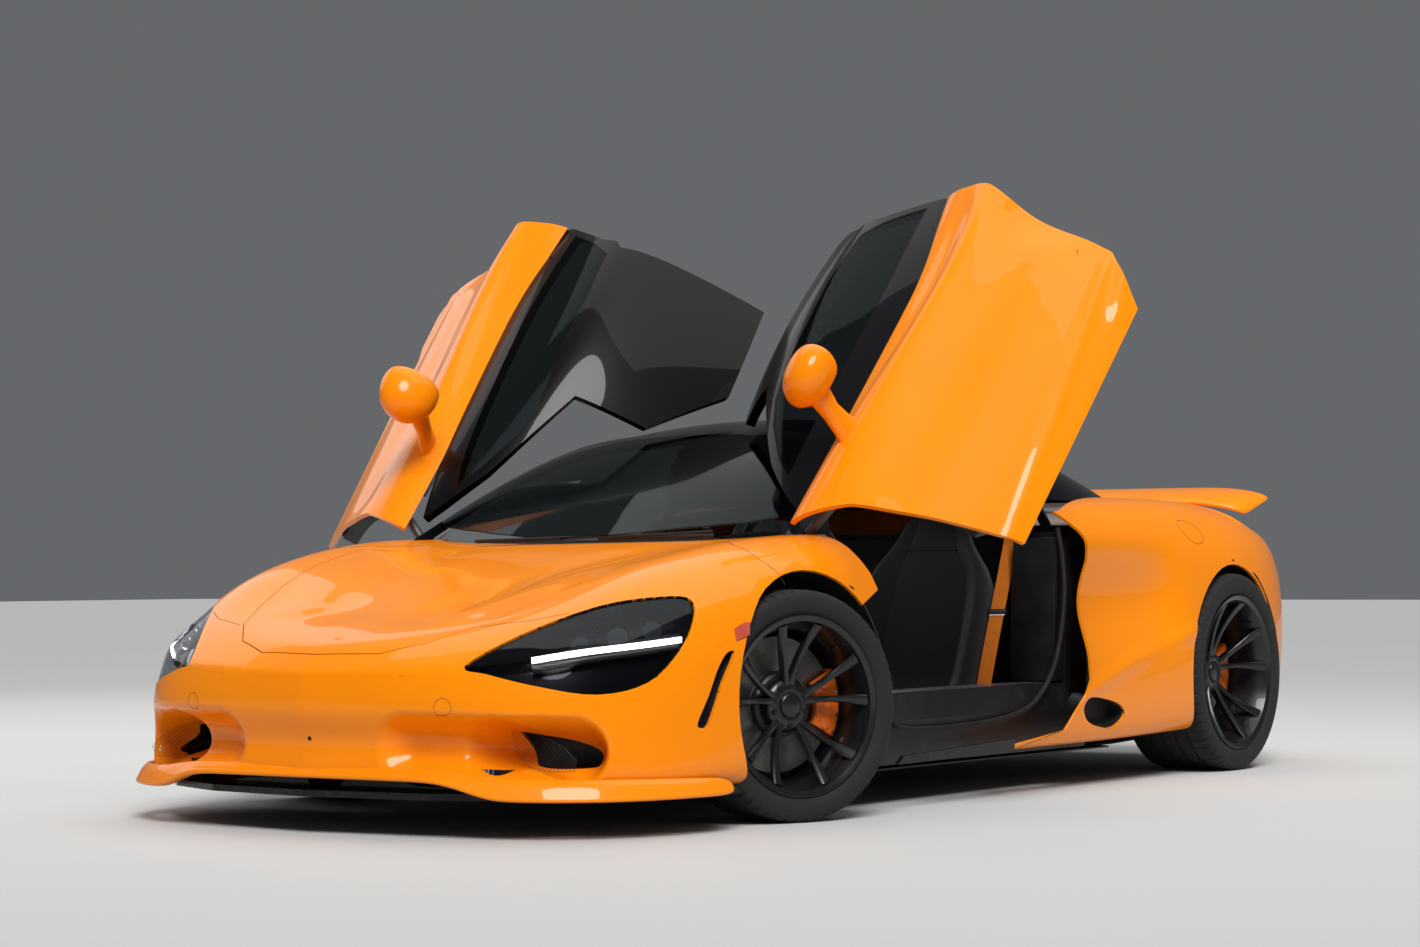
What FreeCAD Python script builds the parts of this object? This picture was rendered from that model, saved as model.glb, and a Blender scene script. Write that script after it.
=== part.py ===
import FreeCAD, Part
import Sketcher
import math
import os
import re

# Mid-engined two-seat coupe with two dihedral doors, standing open.
# Millimetres. The front faces -Y, the left side is +X and the ground is Z = 0.

V = FreeCAD.Vector
X_AXIS = V(1, 0, 0)
Y_AXIS = V(0, 1, 0)
Z_AXIS = V(0, 0, 1)

# Driving dimensions: alias, value, meaning
SIZES = [
    ("Wheelbase", 2670.0, "front axle to rear axle"),
    ("FrontAxleY", -1189.5, "front axle from the middle of the length"),
    ("FrontTrack", 1680.0, "between the front wheel centres"),
    ("RearTrack", 1629.0, "between the rear wheel centres"),
    ("FrontTyreRadius", 322.0, "front tyre, as loaded"),
    ("RearTyreRadius", 340.0, "rear tyre, as loaded"),
    ("FrontTyreWidth", 245.0, "front tyre section"),
    ("RearTyreWidth", 303.0, "rear tyre section"),
    ("FrontRimRadius", 252.0, "front rim flange"),
    ("RearRimRadius", 265.0, "rear rim flange"),
    ("FrontDiscRadius", 190.0, "front brake disc"),
    ("RearDiscRadius", 190.0, "rear brake disc"),
    ("DiscThickness", 32.0, "brake disc"),
    ("RimInset", 8.0, "rim flange inside the side of its tyre"),
    ("FlangeHeight", 14.0, "rim flange above its bead seat"),
    ("WellDepth", 16.0, "rim well below its bead seat"),
    ("RimWall", 9.0, "rim barrel"),
    ("TyreShoulder", 32.0, "rounding between tread and side of a tyre"),
    ("SpokeWidth", 26.0, "one wheel spoke across, at the hub"),
    ("SpokeDepth", 34.0, "one wheel spoke along the axle"),
    ("SpokePairs", 5.0, "pairs of spokes"),
    ("SpokeInnerAngle", 7.0, "half the angle between the spokes of a pair at the hub, degrees"),
    ("SpokeOuterAngle", 15.5, "the same at the rim, degrees"),
    ("SpokeFace", 46.0, "face of the spokes at the hub, out from the wheel centre"),
    ("HubFace", 8.0, "mounting face of the hub, out from the wheel centre"),
    ("HubFlange", 78.0, "wheel centre where the spokes meet"),
    ("CapRadius", 30.0, "plain centre cap"),
    ("CapFace", 56.0, "face of the centre cap, out from the wheel centre"),
    ("DiscSet", 50.0, "inner face of the brake disc, in from the wheel centre"),
    ("BellRadius", 92.0, "bell of the brake disc"),
    ("StubRadius", 25.0, "wheel spindle"),
    ("StubLength", 78.0, "wheel spindle behind the disc"),
    ("CaliperSweep", 60.0, "angle that a caliper covers, degrees"),
    ("CaliperInner", 118.0, "inner edge of a caliper"),
    ("CaliperWall", 12.0, "caliper outside its disc"),
    ("PadGap", 4.0, "between a disc and its caliper"),
    ("SteerAtRest", 20.0, "front wheels turned to the right, degrees"),
    ("KingpinOffset", 78.0, "steering axis inboard of the wheel centre"),
    ("FrontArchRadius", 376.0, "front wheel arch"),
    ("RearArchRadius", 372.0, "rear wheel arch"),
    ("PanelThickness", 14.0, "body panels"),
    ("GlassThickness", 6.0, "window glass"),
    ("FrameThickness", 34.0, "roof frame and pillars"),
    ("DoorSkin", 22.0, "outer door panel"),
    ("DoorDepth", 95.0, "whole door, below the window"),
    ("DoorInset", 58.0, "inner door frame behind the edge of its skin"),
    ("ShutGap", 12.0, "between a door and the body"),
    ("LidGap", 6.0, "between the bonnet and the body"),
    ("SeatGap", 0.3, "between fixed neighbours"),
    ("DoorOpenAngle", 68.6, "doors from closed to open, degrees"),
    ("BonnetThickness", 16.0, "front lid"),
    ("TubHalfWidth", 640.0, "cabin tub, inside of the sills"),
    ("SillOuter", 800.0, "outside of the sills"),
    ("SillTop", 330.0, "top of the sills"),
    ("FloorTop", 160.0, "cabin floor"),
    ("FloorBottom", 110.0, "underside"),
    ("EngineLength", 620.0, "engine block along the car"),
    ("EngineWidth", 560.0, "engine block across"),
    ("EngineHeight", 430.0, "engine block"),
    ("EngineBottom", 150.0, "underside of the engine block"),
    ("BulkheadBack", 640.0, "rear face of the wall behind the seats"),
    ("GearboxWidth", 380.0, "gearbox across"),
    ("GearboxBottom", 180.0, "underside of the gearbox"),
    ("GearboxHeight", 300.0, "gearbox"),
    ("GearboxBack", 1760.0, "rear face of the gearbox"),
    ("SeatWidth", 500.0, "one seat across"),
    ("SeatOffset", 345.0, "seat centre from the middle"),
    ("SteeringWheelRadius", 178.0, "steering wheel rim"),
    ("SteeringGrip", 15.0, "half the thickness of the steering wheel rim"),
    ("SteeringBar", 11.0, "half the thickness of the steering wheel spoke"),
    ("SteeringHub", 45.0, "steering wheel centre"),
    ("SteeringHubBack", 40.0, "steering wheel centre behind the rim"),
    ("SteeringHubDepth", 52.0, "steering wheel centre along its axis"),
    ("SteeringY", -400.0, "steering wheel along the car"),
    ("SteeringZ", 720.0, "steering wheel above the ground"),
    ("SteeringTilt", 21.7, "steering axis from level, degrees"),
    ("WingSpan", 1440.0, "rear wing across"),
    ("ExhaustRadius", 58.0, "tail pipe"),
    ("ExhaustWall", 5.0, "tail pipe"),
    ("ExhaustOffset", 95.0, "tail pipe centre from the middle"),
    ("ExhaustHeight", 640.0, "tail pipe centre above the ground"),
    ("ExhaustBack", 2276.0, "open ends of the tail pipes"),
    ("MufflerWidth", 660.0, "silencer across"),
    ("MufflerBack", 1975.0, "rear face of the silencer"),
    ("MufflerBottom", 380.0, "underside of the silencer"),
    ("MufflerHeight", 340.0, "silencer"),
    ("WellFront", -1950.0, "front end of the luggage well"),
    ("WellBack", -1060.0, "rear end of the luggage well"),
    ("WellHalf", 400.0, "half the width of the luggage well"),
    ("WellBottom", 230.0, "underside of the luggage well"),
    ("WellTop", 540.0, "rim of the luggage well"),
    ("WellWall", 8.0, "wall of the luggage well"),
    ("ConsoleHalf", 85.0, "half the width of the centre console"),
    ("DashHalf", 600.0, "half the width of the dashboard"),
]

doc = FreeCAD.newDocument("Supercar")
sheet = doc.addObject("Spreadsheet::Sheet", "Sizes")
for row, (alias, value, meaning) in enumerate(SIZES, start=1):
    sheet.set("A%d" % row, alias)
    sheet.set("B%d" % row, str(value))
    sheet.set("C%d" % row, meaning)
    sheet.setAlias("B%d" % row, alias)
doc.recompute()


def size(alias):
    """Value of one cell of the sheet."""
    return float(getattr(sheet, alias))


FRONT_AXLE = size("FrontAxleY")
REAR_AXLE = FRONT_AXLE + size("Wheelbase")
FRONT_RADIUS = size("FrontTyreRadius")
REAR_RADIUS = size("RearTyreRadius")
PANEL = size("PanelThickness")
GLASS = size("GlassThickness")
FRAME = size("FrameThickness")
GAP = size("SeatGap")
SHUT = size("ShutGap")
LID = size("LidGap")

# Door hinge, left side: a point on the slanting axis and its direction
HINGE_POINT = V(679.7, -900.0, 754.9)
HINGE_AXIS = V(-0.6144, 0.6887, 0.3849).normalize()

# Body sections: y, then half-width and height of floor edge, low side, waist, shoulder,
# crest, slope, valley, and the height at the middle
HULL = [
    (-2284, (235, 235), (246, 272), (252, 345), (242, 402), (214, 430), (180, 438), (110, 442), 443),
    (-2235, (375, 118), (395, 215), (408, 350), (388, 442), (340, 480), (280, 490), (180, 494), 495),
    (-2120, (600, 118), (622, 220), (628, 365), (604, 468), (530, 528), (450, 538), (320, 538), 531),
    (-1950, (780, 118), (800, 220), (800, 380), (772, 512), (662, 602), (546, 614), (400, 606), 582),
    (-1700, (895, 118), (910, 240), (910, 410), (882, 575), (738, 695), (606, 704), (446, 680), 650),
    (-1190, (938, 124), (956, 300), (964, 480), (948, 665), (820, 800), (680, 796), (500, 758), 768),
    (-850, (915, 130), (938, 280), (946, 450), (930, 645), (862, 785), (772, 812), (650, 814), 820),
    (-350, (925, 136), (950, 260), (956, 400), (922, 620), (896, 775), (836, 800), (770, 850), 850),
    (150, (935, 140), (958, 260), (960, 400), (916, 600), (930, 790), (850, 790), (785, 885), 885),
    (560, (940, 142), (965, 260), (960, 400), (914, 600), (935, 795), (860, 890), (770, 925), 935),
    (1050, (942, 150), (967, 270), (966, 430), (952, 620), (926, 810), (812, 925), (680, 948), 942),
    (1480, (942, 160), (968, 300), (972, 480), (966, 680), (922, 825), (806, 925), (660, 950), 940),
    (1900, (900, 200), (932, 310), (942, 480), (930, 660), (882, 800), (775, 892), (640, 925), 928),
    (2284, (810, 262), (848, 345), (858, 500), (848, 652), (808, 772), (730, 850), (600, 882), 888),
]

# The flank behind the doors is hollowed towards its leading edge: row of the table, point, half-width
FLANK_HOLLOW = [(8, 3, 862), (9, 3, 868), (9, 2, 944), (10, 3, 926)]


def hollowed(table):
    """The body sections with the hollow flank behind the doors."""
    rows = [list(row) for row in table]
    for row, point, half_width in FLANK_HOLLOW:
        rows[row][point + 1] = (half_width, rows[row][point + 1][1])
    return [tuple(row) for row in rows]


# Canopy sections: y, then half-width and height of base, belt, side glass, cant rail,
# roof edge, roof, and the height at the middle
CANOPY = [
    (-1300, (780, 560), (760, 600), (720, 640), (640, 665), (460, 690), (240, 705), 710),
    (-1000, (790, 700), (765, 745), (720, 785), (640, 815), (470, 842), (240, 858), 862),
    (-650, (795, 790), (765, 850), (715, 915), (640, 975), (480, 1020), (240, 1042), 1048),
    (-300, (800, 800), (770, 880), (710, 985), (635, 1088), (480, 1138), (240, 1160), 1166),
    (50, (800, 820), (775, 900), (705, 1010), (625, 1122), (475, 1170), (240, 1190), 1196),
    (450, (790, 840), (750, 910), (685, 1010), (605, 1108), (460, 1156), (235, 1178), 1184),
    (850, (720, 860), (680, 915), (625, 990), (550, 1065), (420, 1105), (220, 1126), 1132),
    (1250, (620, 870), (580, 910), (530, 960), (470, 1005), (360, 1030), (190, 1042), 1046),
    (1650, (520, 860), (480, 885), (430, 910), (370, 930), (280, 945), (150, 952), 955),
]

# Door outline from the side: y and z, from the cowl down, along the sill and up the back
DOOR_LOWER = [(-912, 823), (-817, 658), (-679, 168), (235, 202), (375, 351), (447, 790), (446, 902)]
DOOR_UPPER = [(343, 1049), (301, 1189), (301, 1260), (-346, 1260), (-346, 1143)]


def inset(points, depth):
    """Half-section moved inwards by depth, its last point kept on the middle."""
    moved = []
    for i, (x, z) in enumerate(points):
        before = points[max(i - 1, 0)]
        after = points[min(i + 1, len(points) - 1)]
        run = math.hypot(after[0] - before[0], after[1] - before[1])
        nx = (after[1] - before[1]) / run
        nz = -(after[0] - before[0]) / run
        moved.append((x - nx * depth, z - nz * depth))
    moved[-1] = (0.0, points[-1][1] - depth)
    return moved


def half_section(row, depth):
    """Points of one row from its lowest edge to the middle, moved inwards by depth."""
    points = list(row[1:-1]) + [(0.0, row[-1])]
    return inset(points, depth) if depth else points


def section_wire(y, points, base):
    """Closed section through points on both sides, shut along its base height."""
    right = [V(x, y, z) for x, z in points]
    left = [V(-x, y, z) for x, z in reversed(points[:-1])]
    floor = [V(-points[0][0], y, base), V(points[0][0], y, base)]
    loop = right + left
    if abs(points[0][1] - base) > 1.0:
        loop = loop + floor
    return Part.makePolygon(loop + [loop[0]])


def sections_loft(table, first, last, depth=0.0, drop=None, shift=0.0, ruled=True):
    """Solid through the rows of a table from first to last, moved inwards by depth."""
    wires = []
    for row in table[first:last + 1]:
        points = half_section(row, depth)
        base = points[0][1] if drop is None else drop
        wires.append(section_wire(row[0] + shift, points, base))
    return Part.makeLoft(wires, True, ruled)


def prism(points, depth_from, depth_to, across="X"):
    """Prism on an outline of pairs, from one depth to the other along an axis."""
    if across == "X":
        loop = [V(depth_from, a, b) for a, b in points]
        run = X_AXIS * (depth_to - depth_from)
    elif across == "Y":
        loop = [V(a, depth_from, b) for a, b in points]
        run = Y_AXIS * (depth_to - depth_from)
    else:
        loop = [V(a, b, depth_from) for a, b in points]
        run = Z_AXIS * (depth_to - depth_from)
    return Part.Face(Part.makePolygon(loop + [loop[0]])).extrude(run)


def block(x0, x1, y0, y1, z0, z1):
    """Box between two corners."""
    return Part.makeBox(x1 - x0, y1 - y0, z1 - z0, V(x0, y0, z0))


def rod(start, end, radius):
    """Round bar between two points."""
    run = end - start
    return Part.makeCylinder(radius, run.Length, start, run)


def mirrored(shape):
    """The same shape on the other side."""
    return shape.mirror(V(0, 0, 0), X_AXIS)


def both_sides(shape):
    """A shape and its mirror image in one."""
    return Part.makeCompound([shape, mirrored(shape)])


def solids_of(shape, least=1000.0):
    """The solids of a shape that are more than slivers."""
    kept = [one for one in shape.Solids if one.Volume > least]
    return kept[0] if len(kept) == 1 else Part.makeCompound(kept)


def offset_outline(points, distance):
    """Closed outline moved outwards by distance."""
    face = Part.Face(Part.makePolygon([V(a, b, 0) for a, b in points] + [V(points[0][0], points[0][1], 0)]))
    grown = face.makeOffset2D(distance, 2)
    return [(v.X, v.Y) for v in grown.OuterWire.OrderedVertexes]


def shape_node(label, shape, placement=None):
    """Object of the document that holds a shape, with its Placement."""
    node = doc.addObject("Part::Feature", label)
    node.Label = label
    node.Shape = shape
    if placement is not None:
        node.Placement = placement
    nodes.append(node)
    return node


def linked(formula):
    """Formula with each name in it tied to its cell of the sheet."""
    return re.sub(r"\b([A-Z]\w+)", r"Sizes.\1", formula)


def worth(formula):
    """Number that a formula on the sheet gives."""
    return float(sheet.evalExpression(linked(formula)))


def own(body, role):
    """One of a body's own planes or axes."""
    return [one for one in body.Origin.OriginFeatures if one.Role == role][0]


def outline(body, name, plane, corners):
    """Closed sketch on a plane of the body, each corner held by two formulas."""
    sketch = body.newObject("Sketcher::SketchObject", name)
    sketch.AttachmentSupport = (own(body, plane), [""])
    sketch.MapMode = "FlatFace"
    places = [V(worth(across), worth(up), 0) for across, up in corners]
    count = len(places)
    for i in range(count):
        sketch.addGeometry(Part.LineSegment(places[i], places[(i + 1) % count]), False)
    for i in range(count):
        sketch.addConstraint(Sketcher.Constraint("Coincident", i, 2, (i + 1) % count, 1))
    for i, (across, up) in enumerate(corners):
        for kind, formula, start in (("DistanceX", across, places[i].x), ("DistanceY", up, places[i].y)):
            index = sketch.addConstraint(Sketcher.Constraint(kind, -1, 1, i, 1, start))
            sketch.setExpression("Constraints[%d]" % index, linked(formula))
    doc.recompute()
    return sketch


def turn_feature(body, name, corners, kind="Revolution", plane="XZ_Plane", sweep=None):
    """Outline turned about the body's X axis, as material or as a groove."""
    sketch = outline(body, name + "Outline", plane, corners)
    feature = body.newObject("PartDesign::" + kind, name)
    feature.Profile = sketch
    feature.ReferenceAxis = (sketch, ["H_Axis"])
    if sweep is None:
        feature.Angle = 360
    else:
        feature.Midplane = True
        feature.setExpression("Angle", linked(sweep))
    body.Tip = feature
    doc.recompute()
    return feature


def pad_feature(body, name, corners, length, plane="XY_Plane", both=False, start=None):
    """Outline raised by a length from a plane of the body, or from a distance off it."""
    sketch = outline(body, name + "Outline", plane, corners)
    if start is not None:
        sketch.setExpression("AttachmentOffset.Base.z", linked(start))
    feature = body.newObject("PartDesign::Pad", name)
    feature.Profile = sketch
    feature.setExpression("Length", linked(length))
    feature.Midplane = both
    body.Tip = feature
    doc.recompute()
    return feature


def primitive(kind, name, base, axis=None, **sizes):
    """Part primitive with its sizes and its place tied to formulas."""
    item = doc.addObject("Part::" + kind, name)
    if axis is not None:
        item.Placement = FreeCAD.Placement(V(0, 0, 0), FreeCAD.Rotation(Z_AXIS, axis))
    for field, formula in sizes.items():
        item.setExpression(field, linked(formula))
    for letter, formula in zip("xyz", base):
        item.setExpression(".Placement.Base." + letter, linked(formula))
    return item


def combined(kind, name, items):
    """Boolean object over other objects: MultiFuse joins them, Cut takes the second from the first."""
    item = doc.addObject("Part::" + kind, name)
    if kind == "Cut":
        item.Base, item.Tool = items
    elif kind == "Compound":
        item.Links = items
    else:
        item.Shapes = items
        item.Refine = True
    doc.recompute()
    return item


def keep(item, label, placement=None):
    """Takes an object of the document as one of the nodes, with its Label and Placement."""
    item.Label = label
    if placement is not None:
        item.Placement = placement
    nodes.append(item)
    return item


nodes = []

# Placements of what stands turned at rest
open_angle = size("DoorOpenAngle")


def door_placement(side):
    """Opened door: side is 1 on the left and -1 on the right."""
    point = V(HINGE_POINT.x * side, HINGE_POINT.y, HINGE_POINT.z)
    axis = V(HINGE_AXIS.x * side, HINGE_AXIS.y, HINGE_AXIS.z)
    turn = FreeCAD.Rotation(axis, -open_angle * side)
    return FreeCAD.Placement(V(0, 0, 0), turn, point)


def steer_placement(side):
    """Front wheel turned about its steering axis."""
    pivot = V((size("FrontTrack") / 2 - size("KingpinOffset")) * side, FRONT_AXLE, 0)
    turn = FreeCAD.Rotation(Z_AXIS, -size("SteerAtRest"))
    return FreeCAD.Placement(V(0, 0, 0), turn, pivot)


# Master solids of the body
LAST_HULL = len(HULL) - 1
LAST_CANOPY = len(CANOPY) - 1
UNDER = 60.0
FRONT_SHIFT = 10.0
REAR_SHIFT = 4.0
hull_front = sections_loft(HULL, 0, 7)
hull_front_in = sections_loft(HULL, 1, 7, PANEL, UNDER, FRONT_SHIFT)
hull_mid = sections_loft(HULL, 5, 10)
hull_mid_panel = sections_loft(HULL, 5, 10, PANEL, UNDER)
hull_mid_skin = sections_loft(HULL, 5, 10, size("DoorSkin"))
hull_mid_seat = sections_loft(HULL, 5, 10, size("DoorSkin") + GAP)
hull_mid_door = sections_loft(HULL, 5, 10, size("DoorDepth"))
REAR_HULL = hollowed(HULL)
hull_rear = sections_loft(REAR_HULL, 7, LAST_HULL)
hull_rear_in = sections_loft(REAR_HULL, 7, LAST_HULL, PANEL, UNDER, REAR_SHIFT)
canopy = sections_loft(CANOPY, 0, LAST_CANOPY)
canopy_glass_in = sections_loft(CANOPY, 0, LAST_CANOPY, GLASS)
canopy_frame_in = sections_loft(CANOPY, 0, LAST_CANOPY, FRAME)

# Where the doors are, from the side and from above
DOOR_FRONT_EDGE = [(792, -1000), (778, -850), (728, -780), (655, -660), (528, -336), (285, -336), (84, -88)]
DOOR_PLAN = [(1150, -1000)] + DOOR_FRONT_EDGE + [(86, 301), (600, 301), (690, 470), (1150, 470)]
WIDE = 1150.0
HIGH = 1400.0


def door_zone(gap):
    """Space of the left door, grown by a gap."""
    from_side = prism(offset_outline(DOOR_LOWER + DOOR_UPPER, gap), 0, WIDE)
    from_above = prism(offset_outline(DOOR_PLAN, gap), 0, HIGH, "Z")
    return from_side.common(from_above)


door_hole = door_zone(SHUT)
door_holes = both_sides(door_hole)
arch_front = Part.makeCylinder(size("FrontArchRadius"), 700, V(480, FRONT_AXLE, FRONT_RADIUS), X_AXIS)
arch_rear = Part.makeCylinder(size("RearArchRadius"), 700, V(480, REAR_AXLE, REAR_RADIUS), X_AXIS)

# Bonnet outline from above, left half from the nose to the windscreen
BONNET_HALF = [(0, -2246), (250, -2236), (400, -2150), (520, -2010), (600, -1850), (640, -1650),
               (650, -1400), (600, -1150), (450, -862), (300, -990), (0, -1146)]
bonnet_outline = BONNET_HALF + [(-x, y) for x, y in reversed(BONNET_HALF[1:-1])]
bonnet_hole = prism(offset_outline(bonnet_outline, LID), 380, 900, "Z")

# Headlamp outline from the front, and the slanting front door line of the wing
LAMP = [(560, 450), (640, 535), (740, 592), (838, 618), (872, 590), (884, 480), (826, 384), (700, 398)]
LAMP_DEPTH = 60.0
lamp_zone = prism(LAMP, -2400, -1630, "Y")

front_shell = hull_front.cut(hull_front_in)
wing_back = prism([(-905, 900), (-830, 640), (-934, 599), (-934, 60), (-300, 60), (-300, 900)], -WIDE, WIDE)
# Openings of the nose seen from the front, and the slot before the wheel seen from the side
LIP_SLOT = [(-520, 90), (520, 90), (420, 168), (-420, 168)]
CORNER_INTAKE = [(600, 250), (655, 283), (710, 272), (760, 240), (796, 204), (786, 184), (720, 184),
                 (640, 205)]
SLOT_VENT = [(-1572, 476), (-1602, 474), (-1645, 425), (-1682, 362), (-1728, 296), (-1714, 280), (-1688, 288),
             (-1656, 340), (-1622, 402)]
SIDE_DUCT = [(215, 262), (250, 232), (321, 208), (450, 186), (552, 184), (619, 222), (590, 256), (500, 282),
             (344, 294)]
hinge_slot = Part.makeCylinder(114, 56, HINGE_POINT - HINGE_AXIS * 28, HINGE_AXIS)
hinge_slot = hinge_slot.common(block(686, WIDE, -1100, -700, 0, HIGH))
hinge_slots = both_sides(hinge_slot)
nose_openings = [prism(LIP_SLOT, -2300, -2000, "Y"), both_sides(prism(CORNER_INTAKE, -2400, -1800, "Y")),
                 both_sides(prism(SLOT_VENT, 840, WIDE))]
front_clam = front_shell.cut([bonnet_hole, hinge_slots, both_sides(lamp_zone), both_sides(arch_front),
                              wing_back, canopy, door_holes] + nose_openings)
shape_node("front_clamshell", solids_of(front_clam))

bonnet_in = sections_loft(HULL, 0, 7, size("BonnetThickness"), UNDER, 10.0)
bonnet = hull_front.cut(bonnet_in).common(prism(bonnet_outline, 380, 900, "Z")).cut(canopy)
shape_node("bonnet", solids_of(bonnet))

lamp_in = sections_loft(HULL, 1, 7, LAMP_DEPTH, UNDER, 40.0)
lamp_seat = prism(offset_outline(LAMP, -GAP), -2400, -1631, "Y")
headlamp = hull_front.cut(lamp_in).common(lamp_seat).cut(arch_front)
shape_node("headlamps", both_sides(solids_of(headlamp)))

# Roof frame: pillars, header, spine and the hoop behind the doors
SCREEN_SIDE = [(-1400, 500), (-990, 790), (-398, 1120), (-398, 1300), (-1400, 1300)]
REAR_SIDE = [(370, 1230), (400, 925), (1700, 925), (1700, 1230)]
screen_zone = prism(SCREEN_SIDE, -WIDE, WIDE)
rear_zone = prism(REAR_SIDE, -WIDE, WIDE)
body_solids = [hull_front, hull_mid, hull_rear]
canopy_frame = canopy.cut(canopy_frame_in).cut(body_solids).cut(door_holes)
roof_frame = canopy_frame.cut([screen_zone, rear_zone, hinge_slots])
shape_node("roof_frame", solids_of(roof_frame, 100000.0))
canopy_glass = canopy.cut(canopy_glass_in).cut(body_solids)
screen_seat = prism(offset_outline(SCREEN_SIDE, -GAP), -WIDE, WIDE)
shape_node("windscreen", solids_of(canopy_glass.common(screen_seat)))
rear_seat = prism(offset_outline(REAR_SIDE, -GAP), -WIDE, WIDE)
shape_node("rear_screen", solids_of(canopy_glass.common(rear_seat).cut(door_holes)))

rear_shell = hull_rear.cut(hull_rear_in)
rear_front = prism([(-900, 60), (-62, 60), (-62, 152), (240, 190), (388, 345), (470, 720), (456, 915),
                    (456, 1000), (-900, 1000)], -WIDE, WIDE)
DECK = [(560, 470), (560, 1250), (430, 1700), (-430, 1700), (-560, 1250), (-560, 470)]
deck_zone = prism(DECK, 700, 1100, "Z")
rear_clam = rear_shell.cut([both_sides(arch_rear), rear_front, canopy, door_holes, deck_zone,
                            both_sides(prism(SIDE_DUCT, 860, WIDE))])
rear_clam = solids_of(rear_clam)
WING_PIVOT = V(0, 1968, 941)
LUG_X = 400
wing_lug = block(LUG_X - 15, LUG_X + 15, WING_PIVOT.y - 12, WING_PIVOT.y + 12, 905, WING_PIVOT.z + 8)
wing_pin = rod(V(LUG_X - 35, WING_PIVOT.y, WING_PIVOT.z), V(LUG_X + 35, WING_PIVOT.y, WING_PIVOT.z), 6)
lug = wing_lug.fuse(wing_pin)
shape_node("rear_clamshell", rear_clam.fuse([lug, mirrored(lug)]).removeSplitter())

ENGINE_DECK = offset_outline(DECK, -GAP)
engine_cover = rear_shell.common(prism(ENGINE_DECK, 700, 1100, "Z")).cut([canopy, prism(DECK, 700, 830, "Z")])
shape_node("engine_cover", solids_of(engine_cover))

# Doors, modelled shut and then turned about the slanting hinge
SKIN_SIDE = DOOR_LOWER + [(446, 960), (-880, 900)]
skin_zone = prism(SKIN_SIDE, 0, WIDE).common(prism(DOOR_PLAN, 0, HIGH, "Z"))
door_skin = hull_mid.cut(hull_mid_skin).common(skin_zone).cut(canopy)
FRAME_SIDE = offset_outline(DOOR_LOWER + [(446, 990), (-912, 920)], -size("DoorInset"))
frame_zone = prism(FRAME_SIDE, 700, WIDE)
frame_zone = frame_zone.cut([block(0, WIDE, -1000, -780, 0, HIGH), block(0, 755, -1000, -640, 0, HIGH)])
lower_frame = hull_mid_seat.cut(hull_mid_door).common(frame_zone)
WINDOW = [(-800, 874), (-600, 975), (-420, 1045), (-300, 1068), (50, 1095), (262, 1085), (325, 1030),
          (395, 935), (50, 912), (-350, 896)]
window_hole = prism(WINDOW, 500, WIDE).common(prism(offset_outline(DOOR_PLAN, -30), 0, HIGH, "Z"))
upper_zone = prism(DOOR_LOWER + DOOR_UPPER, 0, WIDE).common(prism(DOOR_PLAN, 0, HIGH, "Z"))
upper_zone = upper_zone.cut(prism([(-1000, 0), (500, 0), (500, 845), (-350, 812), (-1000, 790)], 0, WIDE))
edge_strip = prism(DOOR_PLAN, 0, HIGH, "Z").cut(prism([(x, y + 60) for x, y in DOOR_PLAN], 0, HIGH, "Z"))
edge_recess = sections_loft(CANOPY, 1, 5, 8.0).common(edge_strip)
window_frame = canopy.cut(canopy_frame_in).common(upper_zone).cut([window_hole, door_skin, edge_recess])
HINGE_RING = 24.0
HINGE_PIN = 12.0
RING_HALF = 20.0
ring = Part.makeCylinder(HINGE_RING, 2 * RING_HALF, HINGE_POINT - HINGE_AXIS * RING_HALF, HINGE_AXIS)
ring_bore = Part.makeCylinder(HINGE_PIN + GAP, 200, HINGE_POINT - HINGE_AXIS * 100, HINGE_AXIS)
hinge_arm = rod(HINGE_POINT, V(858, -735, 690), 16.0)
door_frame = lower_frame.fuse([window_frame, hinge_arm, ring]).cut(ring_bore)
glass_plan = prism(offset_outline(DOOR_PLAN, -30 - GAP), 0, HIGH, "Z")
glass_side = prism(offset_outline(WINDOW, -GAP), 500, WIDE)
door_glass = canopy.cut(canopy_glass_in).common(glass_side).common(glass_plan)

MIRROR_CENTRE = V(990, -543, 940)
MIRROR_RINGS = [(-96, 30, 20), (-82, 62, 44), (-44, 88, 64), (8, 96, 70), (54, 90, 66)]


def ring_wire(centre, offset, half_width, half_height):
    """Eight-sided section of the mirror head."""
    corners = []
    for step in range(8):
        angle = math.radians(22.5 + 45 * step)
        corners.append(centre + V(half_width * math.cos(angle), offset, half_height * math.sin(angle)))
    return Part.makePolygon(corners + [corners[0]])


mirror_head = Part.makeLoft([ring_wire(MIRROR_CENTRE, *row) for row in MIRROR_RINGS], True, True)
mirror_stalk = rod(V(850, -560, 765), MIRROR_CENTRE - V(30, 0, 30), 17.0)
door_mirror = mirror_head.fuse(mirror_stalk).cut([hull_mid, canopy]).removeSplitter()

for side, suffix in ((1, "left"), (-1, "right")):
    for label, shape in (("door_skin", door_skin), ("door_frame", door_frame), ("door_glass", door_glass),
                         ("door_mirror", door_mirror)):
        one_side = solids_of(shape) if side > 0 else mirrored(solids_of(shape))
        shape_node("%s_%s" % (label, suffix), one_side, door_placement(side))


# Wheels
def turned(profile):
    """Solid turned about the X axis from pairs of x and radius."""
    loop = [V(x, 0, r) for x, r in profile]
    return Part.Face(Part.makePolygon(loop + [loop[0]])).revolve(V(0, 0, 0), X_AXIS, 360)


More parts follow.
